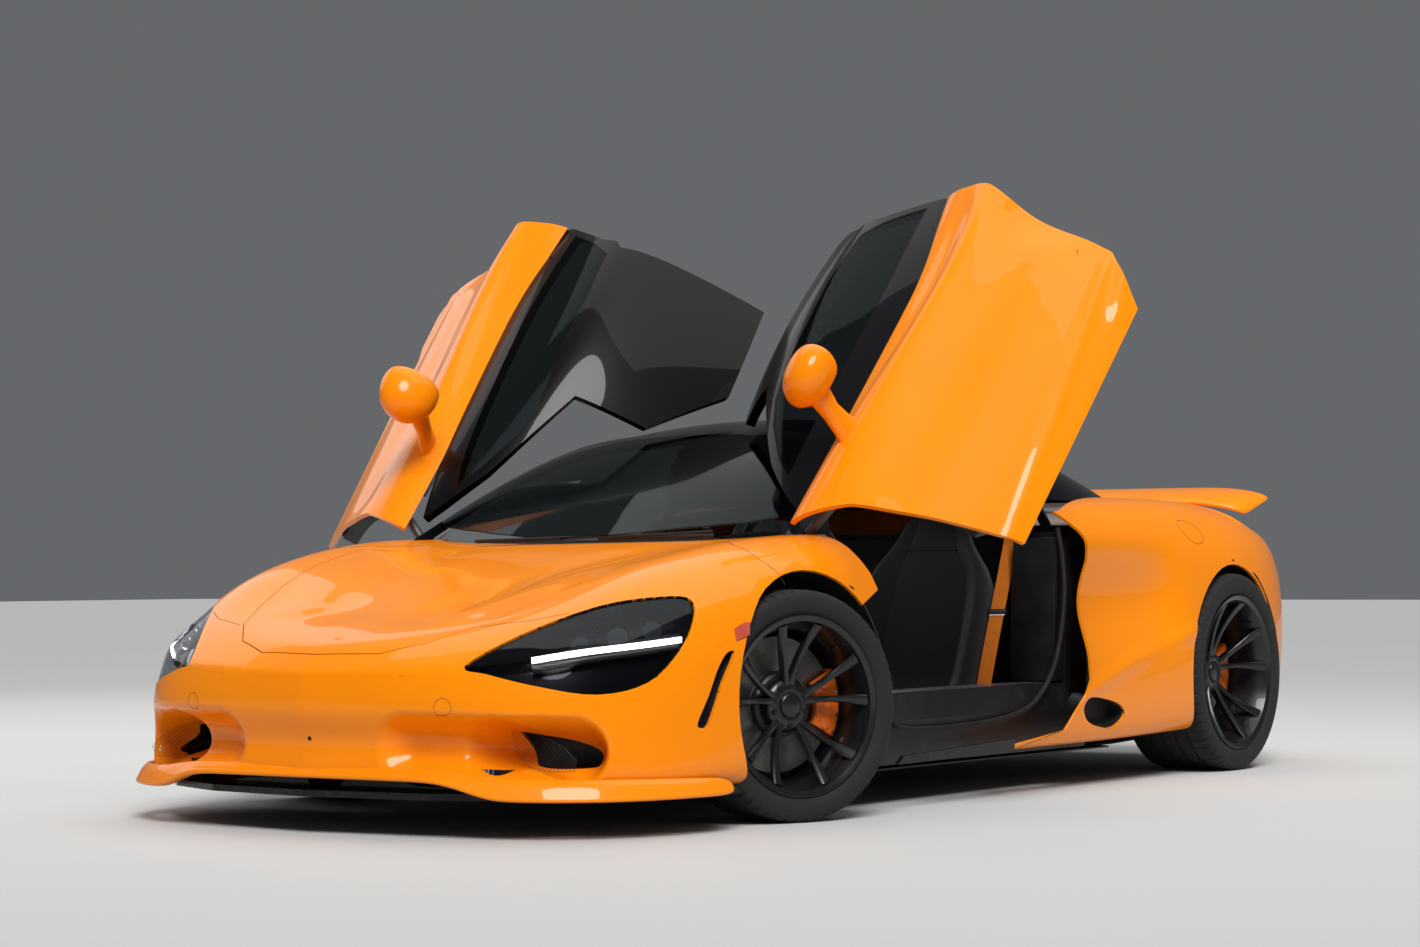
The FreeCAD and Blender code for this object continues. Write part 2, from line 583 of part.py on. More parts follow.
def make_rim(name, axle):
    """Rim about the origin, its face towards +X: hub, spoke pairs, dished faces, barrel and cap."""
    half = "(%sTyreWidth / 2 - RimInset)" % axle
    top = "%sRimRadius" % axle
    seat = "(%sRimRadius - FlangeHeight)" % axle
    well = "(%sRimRadius - FlangeHeight - WellDepth)" % axle
    beyond = seat + " + 5"
    body = doc.addObject("PartDesign::Body", name)
    turn_feature(body, name + "Hub", [("HubFace", "0"), ("HubFace", "HubFlange"),
                                      ("SpokeFace - 2", "HubFlange - 6"), ("SpokeFace - 2", "0")])
    pads = []
    for mark, lean in (("A", "-1"), ("B", "1")):
        inner = "(SpokeInnerAngle * %s * 1deg)" % lean
        outer = "(SpokeOuterAngle * %s * 1deg)" % lean
        root = "(HubFlange - 40)"
        tip = "(%s - 10)" % seat
        corners = []
        for reach, angle, share, hand in ((root, inner, "0.5", -1), (tip, outer, "0.4", -1),
                                          (tip, outer, "0.4", 1), (root, inner, "0.5", 1)):
            shift = "SpokeWidth * %s * %d" % (share, hand)
            corners.append(("%s * sin(%s) + %s * cos(%s)" % (reach, angle, shift, angle),
                            "%s * cos(%s) - %s * sin(%s)" % (reach, angle, shift, angle)))
        pads.append(pad_feature(body, name + "Spoke" + mark, corners, half + " - HubFace", "YZ_Plane",
                                start="HubFace"))
    star = body.newObject("PartDesign::PolarPattern", name + "Spokes")
    star.Originals = pads
    star.Axis = (own(body, "X_Axis"), [""])
    star.Angle = 360
    star.setExpression("Occurrences", linked("SpokePairs"))
    body.Tip = star
    doc.recompute()
    turn_feature(body, name + "Dish", [
        ("SpokeFace", "0"), ("SpokeFace", "HubFlange - 20"), ("SpokeFace + 12", seat + " * 0.6"),
        (half + " - RimInset", beyond), (half + " + 20", beyond), (half + " + 20", "0")], "Groove")
    turn_feature(body, name + "Back", [
        ("HubFace - 20", "HubFlange"), ("SpokeFace - SpokeDepth + 10", "HubFlange"),
        ("SpokeFace + 14 - SpokeDepth", seat + " * 0.6"), (half + " - RimInset - SpokeDepth", beyond),
        ("HubFace - 20", beyond)], "Groove")
    inner = "-" + half
    drop = well + " - RimWall"
    turn_feature(body, name + "Barrel", [
        (inner, top), (inner + " + 8", top), (inner + " + 8", seat), (inner + " + 60", well),
        (half + " - 60", well), (half + " - 8", seat), (half + " - 8", top), (half, top),
        (half, seat + " - 6"), (half + " - 62", drop), (inner + " + 62", drop), (inner, seat + " - 8")])
    turn_feature(body, name + "Cap", [("SpokeFace - 4", "0"), ("SpokeFace - 4", "CapRadius + 8"),
                                      ("SpokeFace + 4", "CapRadius + 6"), ("CapFace - 2", "CapRadius"),
                                      ("CapFace", "CapRadius - 4"), ("CapFace", "0")])
    return body


def make_tyre(name, axle):
    """Tyre about the origin, seated in its rim."""
    half = "(%sTyreWidth / 2)" % axle
    wall = "(%sTyreWidth / 2 - RimInset - 8 - SeatGap)" % axle
    bead = "%sRimRadius - FlangeHeight + SeatGap" % axle
    top = "%sTyreRadius" % axle
    rim = "%sRimRadius" % axle
    right = [(wall, bead), (wall, rim + " + 4"), (half, rim + " + 26"), (half, top + " - TyreShoulder"),
             (half + " - 4", top + " - TyreShoulder * 0.6"), (half + " - 12", top + " - TyreShoulder * 0.28"),
             (half + " - TyreShoulder", top)]
    left = [("-(%s)" % across, up) for across, up in reversed(right)]
    body = doc.addObject("PartDesign::Body", name)
    turn_feature(body, name + "Section", right + left)
    return body


def make_disc(name, axle):
    """Brake disc with its bell and the spindle that carries the wheel."""
    body = doc.addObject("PartDesign::Body", name)
    rim = "%sDiscRadius" % axle
    turn_feature(body, name + "Section", [
        ("-DiscSet - StubLength", "0"), ("-DiscSet - StubLength", "StubRadius"), ("-DiscSet", "StubRadius"),
        ("-DiscSet", rim), ("-DiscSet + DiscThickness", rim), ("-DiscSet + DiscThickness", "BellRadius"),
        ("HubFace", "BellRadius - 4"), ("HubFace", "0")])
    return body


def make_caliper(name, axle):
    """Brake caliper over the rear of its disc, with the slot that the disc runs in."""
    body = doc.addObject("PartDesign::Body", name)
    rim = "(%sDiscRadius + PadGap + CaliperWall)" % axle
    slot = "(%sDiscRadius + PadGap)" % axle
    turn_feature(body, name + "Arc", [
        ("-DiscSet - 34", "CaliperInner"), ("-DiscSet - 34", rim + " - 8"), ("-DiscSet - 20", rim),
        ("-2", rim), ("12", rim + " - 8"), ("12", "CaliperInner")], "Revolution", "XY_Plane", "CaliperSweep")
    turn_feature(body, name + "Slot", [
        ("-DiscSet - PadGap", "CaliperInner - 50"), ("-DiscSet - PadGap", slot),
        ("-DiscSet + DiscThickness + PadGap", slot),
        ("-DiscSet + DiscThickness + PadGap", "CaliperInner - 50")], "Groove")
    return body


def make_upright():
    """Hub carrier about the wheel centre, with its upper and lower ends."""
    barrel = turned([(-126, 0), (-126, 52), (-56, 62), (-56, 0)])
    post = block(-78, -57, -34, 34, -152, 152)
    foot = block(-100, -57, -24, 24, -152, -110).fuse(block(-100, -57, -24, 24, 110, 152))
    caliper_lug = block(-98, -84 - GAP, 10, 170, -40, 40)
    bore = Part.makeCylinder(25 + GAP, 200, V(-150, 0, 0), X_AXIS)
    return barrel.fuse([post, foot, caliper_lug]).cut(bore).removeSplitter()


# What is turned by half a turn for the right side: rims about the upright, calipers about the level axis
HALF_TURN_Z = FreeCAD.Placement(V(0, 0, 0), FreeCAD.Rotation(Z_AXIS, 180))
HALF_TURN_Y = FreeCAD.Placement(V(0, 0, 0), FreeCAD.Rotation(Y_AXIS, 180))
upright = make_upright()
rear_calipers = []
for axle, axle_y, radius in (("Front", FRONT_AXLE, FRONT_RADIUS), ("Rear", REAR_AXLE, REAR_RADIUS)):
    for side, suffix in ((1, "left"), (-1, "right")):
        where = V(side * size(axle + "Track") / 2, axle_y, radius)
        turn = steer_placement(side) if axle == "Front" else FreeCAD.Placement()
        place = turn * FreeCAD.Placement(where, FreeCAD.Rotation())
        about_z = place if side > 0 else place * HALF_TURN_Z
        about_y = place if side > 0 else place * HALF_TURN_Y
        ending = "%s_%s" % (axle.lower(), suffix)
        keep(make_rim("rim_" + ending, axle), "rim_" + ending, about_z)
        keep(make_tyre("tyre_" + ending, axle), "tyre_" + ending, about_z)
        keep(make_disc("disc_" + ending, axle), "disc_" + ending, about_z)
        caliper = make_caliper("caliper_" + ending, axle)
        if axle == "Front":
            keep(caliper, "caliper_" + ending, about_y)
            shape_node("upright_" + ending, upright if side > 0 else mirrored(upright), place)
        else:
            caliper.Placement = about_y
            rear_calipers.append(caliper)
rear_upright = upright.translated(V(size("RearTrack") / 2, REAR_AXLE, REAR_RADIUS))


# Cabin tub: floor, sills, bulkheads and the posts that carry the hinges
TUB_FRONT = -930.0
TUB_SIDE_FRONT = -805.0
TUB_BACK = size("BulkheadBack")
TOE_HALF = 520.0
floor_top = size("FloorTop")
floor_bottom = size("FloorBottom")
sill_out = size("SillOuter")
sill_in = size("TubHalfWidth")
sill_top = size("SillTop")
SILL = [(sill_in, floor_bottom), (sill_out, floor_bottom + 10), (sill_out + 25, 250), (sill_out, sill_top),
        (sill_in + 20, sill_top), (sill_in, sill_top - 30)]
sill = prism(SILL, TUB_SIDE_FRONT, TUB_BACK, "Y")
floor_plate = block(-sill_in, sill_in, TUB_SIDE_FRONT, TUB_BACK, floor_bottom, floor_top)
toe_floor = block(-TOE_HALF, TOE_HALF, TUB_FRONT, TUB_SIDE_FRONT, floor_bottom, floor_top)
toe_wall = block(-TOE_HALF, TOE_HALF, TUB_FRONT, TUB_FRONT + 40, floor_top, 690)
toe_side = block(TOE_HALF - 20, TOE_HALF, TUB_FRONT + 40, TUB_SIDE_FRONT, floor_top, 690)
side_wall = block(TOE_HALF - 20, sill_in + 80, TUB_SIDE_FRONT, TUB_SIDE_FRONT + 20, floor_top, 706)
back_wall = prism([(560, 110), (TUB_BACK, 110), (TUB_BACK, 820), (600, 820)], -sill_in - 60, sill_in + 60)
hinge_post = block(sill_in - 20, sill_in + 80, TUB_SIDE_FRONT, TUB_SIDE_FRONT + 105, 300, 706)
back_post = block(sill_in + 40, sill_out + 10, 500, TUB_BACK, 300, 800)
pin = Part.makeCylinder(HINGE_PIN, 110, HINGE_POINT - HINGE_AXIS * 55, HINGE_AXIS)
hinge_shelf = block(620, 740, -965, TUB_SIDE_FRONT, 690, 706)
cheek_low = block(698, 736, -962, -922, 700, 748)
cheek_high = block(622, 662, -878, -840, 700, 792)
side_parts = [sill, toe_side, side_wall, hinge_post, back_post, pin, hinge_shelf, cheek_low, cheek_high]
tub = floor_plate.fuse([toe_floor, toe_wall, back_wall] + side_parts + [mirrored(one) for one in side_parts])
shape_node("cabin_tub", tub.removeSplitter())

# Underside
LIP_INNER = [(760, -1575), (740, -1690), (655, -2036), (560, -2044), (0, -2196)]
UNDER_HALF = [(560, 1820), (700, 1010), (700, 900), (780, 850), (790, -780), (520, -860), (520, -1560)]
UNDER_HALF = UNDER_HALF + LIP_INNER
under_plan = offset_outline(UNDER_HALF + [(-x, y) for x, y in reversed(UNDER_HALF[:-1])], -GAP)
undertray = prism(under_plan, floor_bottom - GAP - 5, floor_bottom - GAP, "Z")
shape_node("undertray", undertray)
diffuser = prism([(1820 + GAP, 104), (1820 + GAP, 112), (2262, 330), (2262, 318)], -560, 560)
FIN = [(1900, 146), (1900, 140), (1994, 140), (2250, 216), (2250, 321)]
FIN_THICKNESS = 8.0
FIN_SPACING = 200.0
fins = []
for step in range(-2, 3):
    middle = step * FIN_SPACING
    fins.append(prism(FIN, middle - FIN_THICKNESS / 2, middle + FIN_THICKNESS / 2))
shape_node("diffuser", diffuser.fuse(fins).removeSplitter())
LIP_OUTER = [(0, -2262), (375, -2215), (610, -2110), (800, -1945), (900, -1700), (942, -1575)]
splitter_plan = LIP_OUTER + LIP_INNER
splitter = prism(splitter_plan + [(-x, y) for x, y in reversed(splitter_plan[1:-1])], 100, 117.6, "Z")
shape_node("front_splitter", splitter)

# Luggage well under the bonnet, open at the top
def well_corners(wall):
    """Outline of the well from above, inside its wall."""
    half = "(WellHalf - %s)" % wall
    front = "WellFront + %s" % wall
    back = "WellBack - %s" % wall
    right = [(half + " - 40", front), (half, "WellFront + 150"), (half, back)]
    return right + [("-" + across.replace(") - 40", ") + 40"), up) for across, up in reversed(right)]


well = doc.addObject("PartDesign::Body", "LuggageWell")
pad_feature(well, "WellOuter", well_corners("0"), "WellTop - WellBottom", "XY_Plane", False, "WellBottom")
well_sketch = outline(well, "WellInner", "XY_Plane", well_corners("WellWall"))
well_sketch.setExpression("AttachmentOffset.Base.z", linked("WellTop"))
hollow = well.newObject("PartDesign::Pocket", "WellHollow")
hollow.Profile = well_sketch
hollow.setExpression("Length", linked("WellTop - WellBottom - WellWall"))
well.Tip = hollow
keep(well, "luggage_well")

# Engine, as one block with its gearbox
engine_block = primitive("Box", "EngineBlock", ("-EngineWidth / 2", "BulkheadBack + SeatGap", "EngineBottom"),
                         Length="EngineWidth", Width="EngineLength", Height="EngineHeight")
gearbox = primitive("Box", "Gearbox",
                    ("-GearboxWidth / 2", "BulkheadBack + SeatGap + EngineLength", "GearboxBottom"),
                    Length="GearboxWidth", Width="GearboxBack - BulkheadBack - SeatGap - EngineLength",
                    Height="GearboxHeight")
keep(combined("MultiFuse", "Engine", [engine_block, gearbox]), "engine")

# Silencer with two tail pipes, open at their ends
muffler = primitive("Box", "Muffler", ("-MufflerWidth / 2", "GearboxBack + SeatGap", "MufflerBottom"),
                    Length="MufflerWidth", Width="MufflerBack - GearboxBack - SeatGap",
                    Height="MufflerHeight")
pipes = []
for mark, side in (("Left", ""), ("Right", "-")):
    middle = side + "ExhaustOffset"
    pipe = primitive("Cylinder", "Pipe" + mark, (middle, "MufflerBack - 15", "ExhaustHeight"), Y_AXIS,
                     Radius="ExhaustRadius", Height="ExhaustBack - MufflerBack + 15")
    bore = primitive("Cylinder", "Bore" + mark, (middle, "MufflerBack + 25", "ExhaustHeight"), Y_AXIS,
                     Radius="ExhaustRadius - ExhaustWall", Height="ExhaustBack - MufflerBack")
    pipes.append(combined("Cut", "TailPipe" + mark, [pipe, bore]))
keep(combined("MultiFuse", "Exhaust", [muffler] + pipes), "exhaust")

# Tail: mesh panel and lamps
tail_in = sections_loft(HULL, 11, LAST_HULL, PANEL + GAP)
tail_panel = tail_in.common(block(-WIDE, WIDE, 2236, 2248, 335, 1000))
for x in (-size("ExhaustOffset"), size("ExhaustOffset")):
    pipe_z = size("ExhaustHeight")
    tail_panel = tail_panel.cut(rod(V(x, 2100, pipe_z), V(x, 2300, pipe_z), size("ExhaustRadius") + GAP))
shape_node("tail_panel", solids_of(tail_panel))
lamp_bar = tail_in.common(block(300, WIDE, 2248 + GAP, 2270, 700, 726))
shape_node("tail_lamps", both_sides(solids_of(lamp_bar)))
keep(combined("Compound", "calipers_rear", rear_calipers), "calipers_rear")

# Wing over the tail, hinged along its front edge
WING = [(1959, 941), (1964, 949), (1974, 954), (2050, 975), (2160, 994), (2262, 1003), (2262, 996),
        (2150, 972), (2040, 948), (1976, 934), (1964, 933)]
# Share of the half span, how far the leading edge is swept back and how far the section drops
WING_HALF = [(0.6, 0, 0), (0.76, 12, 3), (0.9, 44, 16), (1.0, 86, 42)]
WING_STATIONS = [(-share, sweep, drop) for share, sweep, drop in reversed(WING_HALF)] + WING_HALF
TRAILING_EDGE = 2262.0


def wing_section(share, sweep, drop):
    """Closed section of the wing at a share of its half span."""
    x = share * size("WingSpan") / 2
    squeeze = (TRAILING_EDGE - WING[0][0] - sweep) / (TRAILING_EDGE - WING[0][0])
    corners = [V(x, TRAILING_EDGE - (TRAILING_EDGE - y) * squeeze, z - drop) for y, z in WING]
    return Part.makePolygon(corners + [corners[0]])


wing = Part.makeLoft([wing_section(*station) for station in WING_STATIONS], True, True)
notch = block(LUG_X - 20, LUG_X + 20, 1900, WING_PIVOT.y + 26, 900, 1000)
pin_hole = rod(V(LUG_X - 36, WING_PIVOT.y, WING_PIVOT.z), V(LUG_X + 36, WING_PIVOT.y, WING_PIVOT.z), 6 + GAP)
shape_node("rear_wing", wing.cut([notch, pin_hole, mirrored(notch), mirrored(pin_hole)]))

# Sills between the wheels
SKIRT = [(-800, 60), (-694, 156), (-62 - GAP, 178), (-62 - GAP, 60)]
skirt = hull_mid.cut(hull_mid_panel).common(prism(SKIRT, 700, WIDE))
skirt = skirt.cut(door_hole)
shape_node("side_skirts", both_sides(solids_of(skirt)))

# Wheel housings
def housing(axle_y, centre_z, radius, x0, x1, low):
    """Arched liner over a wheel, open at its outer side."""
    shell = Part.makeCylinder(radius + 17, x1 - x0, V(x0, axle_y, centre_z), X_AXIS)
    shell = shell.cut(Part.makeCylinder(radius + 10, x1 - x0, V(x0, axle_y, centre_z), X_AXIS))
    return shell.cut(block(0, WIDE, axle_y - 600, axle_y + 600, 0, low))


front_liner = housing(FRONT_AXLE, FRONT_RADIUS, size("FrontArchRadius"), 605, 955, 250)
front_liner = front_liner.common(sections_loft(HULL, 3, 7, PANEL + GAP, UNDER, FRONT_SHIFT)).cut(tub)
rear_liner = housing(REAR_AXLE, REAR_RADIUS, size("RearArchRadius"), 600, 955, 300)
rear_liner = rear_liner.common(sections_loft(REAR_HULL, 8, LAST_HULL, PANEL + GAP, UNDER, REAR_SHIFT))
liners = [solids_of(front_liner), solids_of(rear_liner)]
shape_node("wheel_liners", Part.makeCompound(liners + [mirrored(one) for one in liners]))

# Suspension arms
def arm(pivot_x, axle_y, z, inner_x, spread):
    """Flat two-legged arm from the upright to the chassis."""
    outline = [(pivot_x + 14, axle_y - 18), (pivot_x + 14, axle_y + 18), (inner_x, axle_y + spread),
               (inner_x, axle_y + spread - 40), (pivot_x - 60, axle_y), (inner_x, axle_y - spread + 40),
               (inner_x, axle_y - spread)]
    return prism(outline, z, z + 16, "Z")


front_arms = []
rear_arms = []
kingpin = size("KingpinOffset")
for z, seat_gap in ((152, GAP), (-168, -GAP)):
    front_pivot = size("FrontTrack") / 2 - kingpin
    front_arms.append(arm(front_pivot, FRONT_AXLE, FRONT_RADIUS + z + seat_gap, 408, 140))
    rear_arms.append(arm(size("RearTrack") / 2 - kingpin, REAR_AXLE, REAR_RADIUS + z, 330, 170))
front_beam = block(400 + GAP, 440, FRONT_AXLE - 160, TUB_FRONT - GAP, 140, 520)
rear_beam = block(300, 340, REAR_AXLE - 200, REAR_AXLE + 200, 150, 540)
shape_node("suspension_front", both_sides(front_beam.fuse(front_arms).removeSplitter()))
rear_link = block(190 + GAP, 301, REAR_AXLE - 40, REAR_AXLE + 40, 250, 400)
rear_beam = rear_beam.fuse(rear_arms + [rear_link, rear_upright]).removeSplitter()
shape_node("suspension_rear", both_sides(rear_beam))

# Cabin
SEAT = [("-190", "FloorTop + SeatGap"), ("-170", "300"), ("-60", "320"), ("180", "270"), ("300", "400"),
        ("400", "640"), ("470", "880"), ("530", "880"), ("555", "700"), ("545", "400"),
        ("480", "FloorTop + SeatGap")]
for suffix, side in (("left", ""), ("right", "-")):
    seat = doc.addObject("PartDesign::Body", "seat_" + suffix)
    pad_feature(seat, "Seat" + suffix, SEAT, "SeatWidth", "YZ_Plane", True, side + "SeatOffset")
    keep(seat, "seat_" + suffix)
BELT_X = size("SeatOffset") + size("SeatWidth") / 2
DASH = [(TUB_FRONT + 40 + GAP, 540), (TUB_FRONT + 40 + GAP, 690), (-860, 760), (-640, 800), (-520, 770),
        (-500, 700), (-560, 560), (-700, 520)]
dash = prism(DASH, -size("DashHalf"), size("DashHalf"))
toe_face = "%r + SeatGap" % (TUB_FRONT + 40)
CONSOLE = [(toe_face, "FloorTop + SeatGap"), (toe_face, "500"), ("-600", "480"), ("-300", "360"),
           ("300", "380"), ("540", "420"), ("540", "FloorTop + SeatGap")]
console = doc.addObject("PartDesign::Body", "Console")
pad_feature(console, "ConsolePad", CONSOLE, "2 * ConsoleHalf", "YZ_Plane", True)
keep(console, "centre_console")

# Steering wheel: ring, one level spoke and centre
wheel_centre = V(size("SeatOffset"), size("SteeringY"), size("SteeringZ"))
tilt = math.radians(size("SteeringTilt"))
wheel_tilt = V(0, math.cos(tilt), math.sin(tilt))
ring = primitive("Torus", "SteeringRing", ("SeatOffset", "SteeringY", "SteeringZ"), wheel_tilt,
                 Radius1="SteeringWheelRadius", Radius2="SteeringGrip")
bar = primitive("Cylinder", "SteeringSpoke",
                ("SeatOffset - SteeringWheelRadius", "SteeringY", "SteeringZ"), X_AXIS,
                Radius="SteeringBar", Height="2 * SteeringWheelRadius")
centre = primitive("Cylinder", "SteeringCentre",
                   ("SeatOffset", "SteeringY - SteeringHubBack * cos(SteeringTilt * 1deg)",
                    "SteeringZ - SteeringHubBack * sin(SteeringTilt * 1deg)"), wheel_tilt,
                   Radius="SteeringHub", Height="SteeringHubDepth")
wheel_down = V(0, math.sin(tilt), -math.cos(tilt))
lower_bar = primitive("Cylinder", "SteeringLowerSpoke", ("SeatOffset", "SteeringY", "SteeringZ"), wheel_down,
                      Radius="SteeringBar", Height="SteeringWheelRadius")
keep(combined("MultiFuse", "SteeringWheel", [ring, bar, lower_bar, centre]), "steering_wheel")
hub_back = size("SteeringHubBack")
column = rod(wheel_centre - wheel_tilt * (hub_back + GAP), wheel_centre - wheel_tilt * (hub_back + 90), 32)
shape_node("dashboard", dash.fuse(column).cut(tub).removeSplitter())
belt = prism([(520, 850), (523, 852), (250, 170), (247, 170)], BELT_X + GAP, BELT_X + 38)
shape_node("seat_belts", both_sides(belt))

# Everything is checked before any file is written
doc.recompute()
failed = [item.Name for item in doc.Objects if "Invalid" in item.State or "Error" in item.State]
if failed:
    raise RuntimeError("not built: %s" % ", ".join(failed))
broken = [node.Label for node in nodes if node.Shape.isNull() or not node.Shape.isValid()]
if broken:
    raise RuntimeError("not sound: %s" % ", ".join(broken))
os.makedirs("parts", exist_ok=True)
for node in nodes:
    node.Shape.exportStep("parts/%s.step" % node.Label)
    print("%-22s %2d solids %9.2f litres" % (node.Label, len(node.Shape.Solids), node.Shape.Volume / 1e6))
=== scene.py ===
"""Looks of a mid-engined coupe whose two doors stand open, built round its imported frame."""
import logging
import math
from dataclasses import dataclass
from enum import Enum

import bmesh
import bpy
import numpy as np
from mathutils import Matrix, Vector
from mathutils.bvhtree import BVHTree


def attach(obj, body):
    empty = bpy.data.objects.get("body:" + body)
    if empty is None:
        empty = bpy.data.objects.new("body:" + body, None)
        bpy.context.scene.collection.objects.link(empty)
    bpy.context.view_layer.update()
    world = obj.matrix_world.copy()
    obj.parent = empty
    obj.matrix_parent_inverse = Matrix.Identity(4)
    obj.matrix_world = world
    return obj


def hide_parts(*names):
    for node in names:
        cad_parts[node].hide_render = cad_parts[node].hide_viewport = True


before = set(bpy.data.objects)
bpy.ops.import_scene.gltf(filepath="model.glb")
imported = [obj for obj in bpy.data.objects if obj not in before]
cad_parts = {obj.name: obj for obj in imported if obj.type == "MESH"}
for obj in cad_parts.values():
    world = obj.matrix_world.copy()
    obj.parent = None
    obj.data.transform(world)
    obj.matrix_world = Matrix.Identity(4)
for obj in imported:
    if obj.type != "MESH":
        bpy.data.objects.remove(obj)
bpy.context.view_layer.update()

LOG = logging.getLogger("coupe")
BMesh = bmesh.types.BMesh
Pair = tuple[float, float]
Triple = tuple[float, float, float]
MM = 0.001
SIDES = ((1, "left"), (-1, "right"))
MIRROR = Matrix.Scale(-1, 4, (1, 0, 0))


def rib(y: float, *places: Pair) -> list[Triple]:
    """A rib that stands square across the car."""
    return [(x, y, z) for x, z in places]


# Points of the body net: one rib a row, from the floor edge up over the side to the middle
HULL = [
    [(0, -2160, 118), (0, -2250, 118), (0, -2262, 215), (0, -2282, 345), (0, -2268, 432), (0, -2200, 492),
     (0, -2165, 508), (0, -2145, 514), (0, -2130, 518), (0, -2120, 520)],
    [(300, -2140, 118), (330, -2232, 118), (320, -2246, 215), (315, -2262, 350), (308, -2246, 440), (280, -2172, 500),
     (245, -2132, 520), (185, -2112, 528), (95, -2102, 530), (0, -2098, 530)],
    [(560, -2080, 118), (620, -2160, 118), (605, -2176, 220), (600, -2190, 365), (578, -2165, 455), (505, -2085, 532),
     (440, -2045, 552), (335, -2025, 558), (170, -2015, 556), (0, -2010, 556)],
    [(740, -1960, 118), (815, -2030, 118), (795, -2040, 220), (788, -2048, 375), (752, -2018, 490), (640, -1945, 590),
     (540, -1915, 605), (415, -1895, 602), (210, -1882, 592), (0, -1878, 590)],
    [(820, -1800, 118), (905, -1850, 118), (888, -1860, 220), (880, -1868, 385), (850, -1848, 530), (710, -1800, 655),
     (585, -1778, 662), (445, -1765, 646), (210, -1755, 632), (0, -1750, 628)],
    [(840, -1600, 118), (950, -1620, 118), (938, -1620, 260), (932, -1620, 420), (905, -1620, 590), (765, -1600, 728),
     (620, -1590, 730), (460, -1585, 700), (220, -1580, 684), (0, -1580, 680)],
    rib(-1190, (840, 125), (950, 125), (958, 300), (965, 480), (950, 660), (815, 800), (670, 795), (500, 756),
        (250, 768), (0, 772)),
    rib(-850, (840, 130), (925, 130), (938, 280), (944, 450), (928, 640), (858, 785), (765, 812), (650, 805),
        (300, 815), (0, 820)),
    rib(-350, (850, 135), (932, 135), (948, 260), (955, 400), (918, 620), (895, 775), (835, 790), (770, 850),
        (400, 850), (0, 850)),
    rib(150, (860, 140), (942, 140), (958, 260), (958, 400), (928, 600), (932, 790), (850, 730), (785, 885),
        (400, 885), (0, 885)),
    rib(560, (870, 140), (948, 140), (965, 260), (958, 400), (918, 600), (937, 790), (855, 890), (770, 925),
        (400, 935), (0, 935)),
    rib(1050, (870, 150), (950, 150), (968, 270), (966, 430), (950, 620), (925, 810), (810, 925), (680, 948),
        (400, 942), (0, 942)),
    rib(1480, (870, 160), (950, 160), (968, 300), (972, 480), (968, 680), (922, 825), (805, 925), (660, 950),
        (400, 940), (0, 940)),
    rib(1900, (812, 200), (895, 200), (924, 310), (930, 480), (917, 660), (868, 800), (765, 892), (634, 925),
        (396, 928), (0, 928)),
    rib(2230, (686, 250), (752, 250), (777, 340), (786, 500), (777, 660), (742, 780), (667, 860), (540, 892),
        (370, 898), (0, 898)),
    rib(2280, (642, 262), (708, 262), (735, 345), (747, 500), (738, 652), (704, 766), (636, 844), (520, 876),
        (352, 882), (0, 884)),
]

# Points of the canopy net: base, belt, side glass, cant rail, roof edge, roof and middle of each rib
CANOPY = [
    rib(-1300, (780, 560), (760, 600), (720, 640), (640, 665), (460, 690), (240, 705), (0, 710)),
    rib(-1000, (790, 700), (765, 745), (720, 785), (640, 815), (470, 842), (240, 858), (0, 862)),
    rib(-650, (795, 790), (765, 850), (715, 915), (640, 975), (480, 1020), (240, 1042), (0, 1048)),
    rib(-300, (800, 800), (770, 880), (710, 985), (635, 1090), (480, 1140), (240, 1162), (0, 1168)),
    rib(50, (800, 820), (775, 900), (705, 1010), (625, 1125), (475, 1172), (240, 1192), (0, 1198)),
    rib(450, (790, 840), (750, 910), (685, 1010), (605, 1110), (460, 1158), (235, 1180), (0, 1186)),
    rib(850, (720, 860), (680, 915), (625, 990), (550, 1065), (420, 1105), (220, 1126), (0, 1132)),
    rib(1250, (620, 870), (580, 910), (530, 960), (470, 1005), (360, 1030), (190, 1042), (0, 1046)),
    rib(1650, (520, 860), (480, 885), (430, 910), (370, 930), (280, 945), (150, 952), (0, 955)),
]


class Axis(Enum):
    """The axis along which an outline is seen: its two other coordinates, in order."""

    X = (1, 2)
    Y = (0, 2)
    Z = (0, 1)


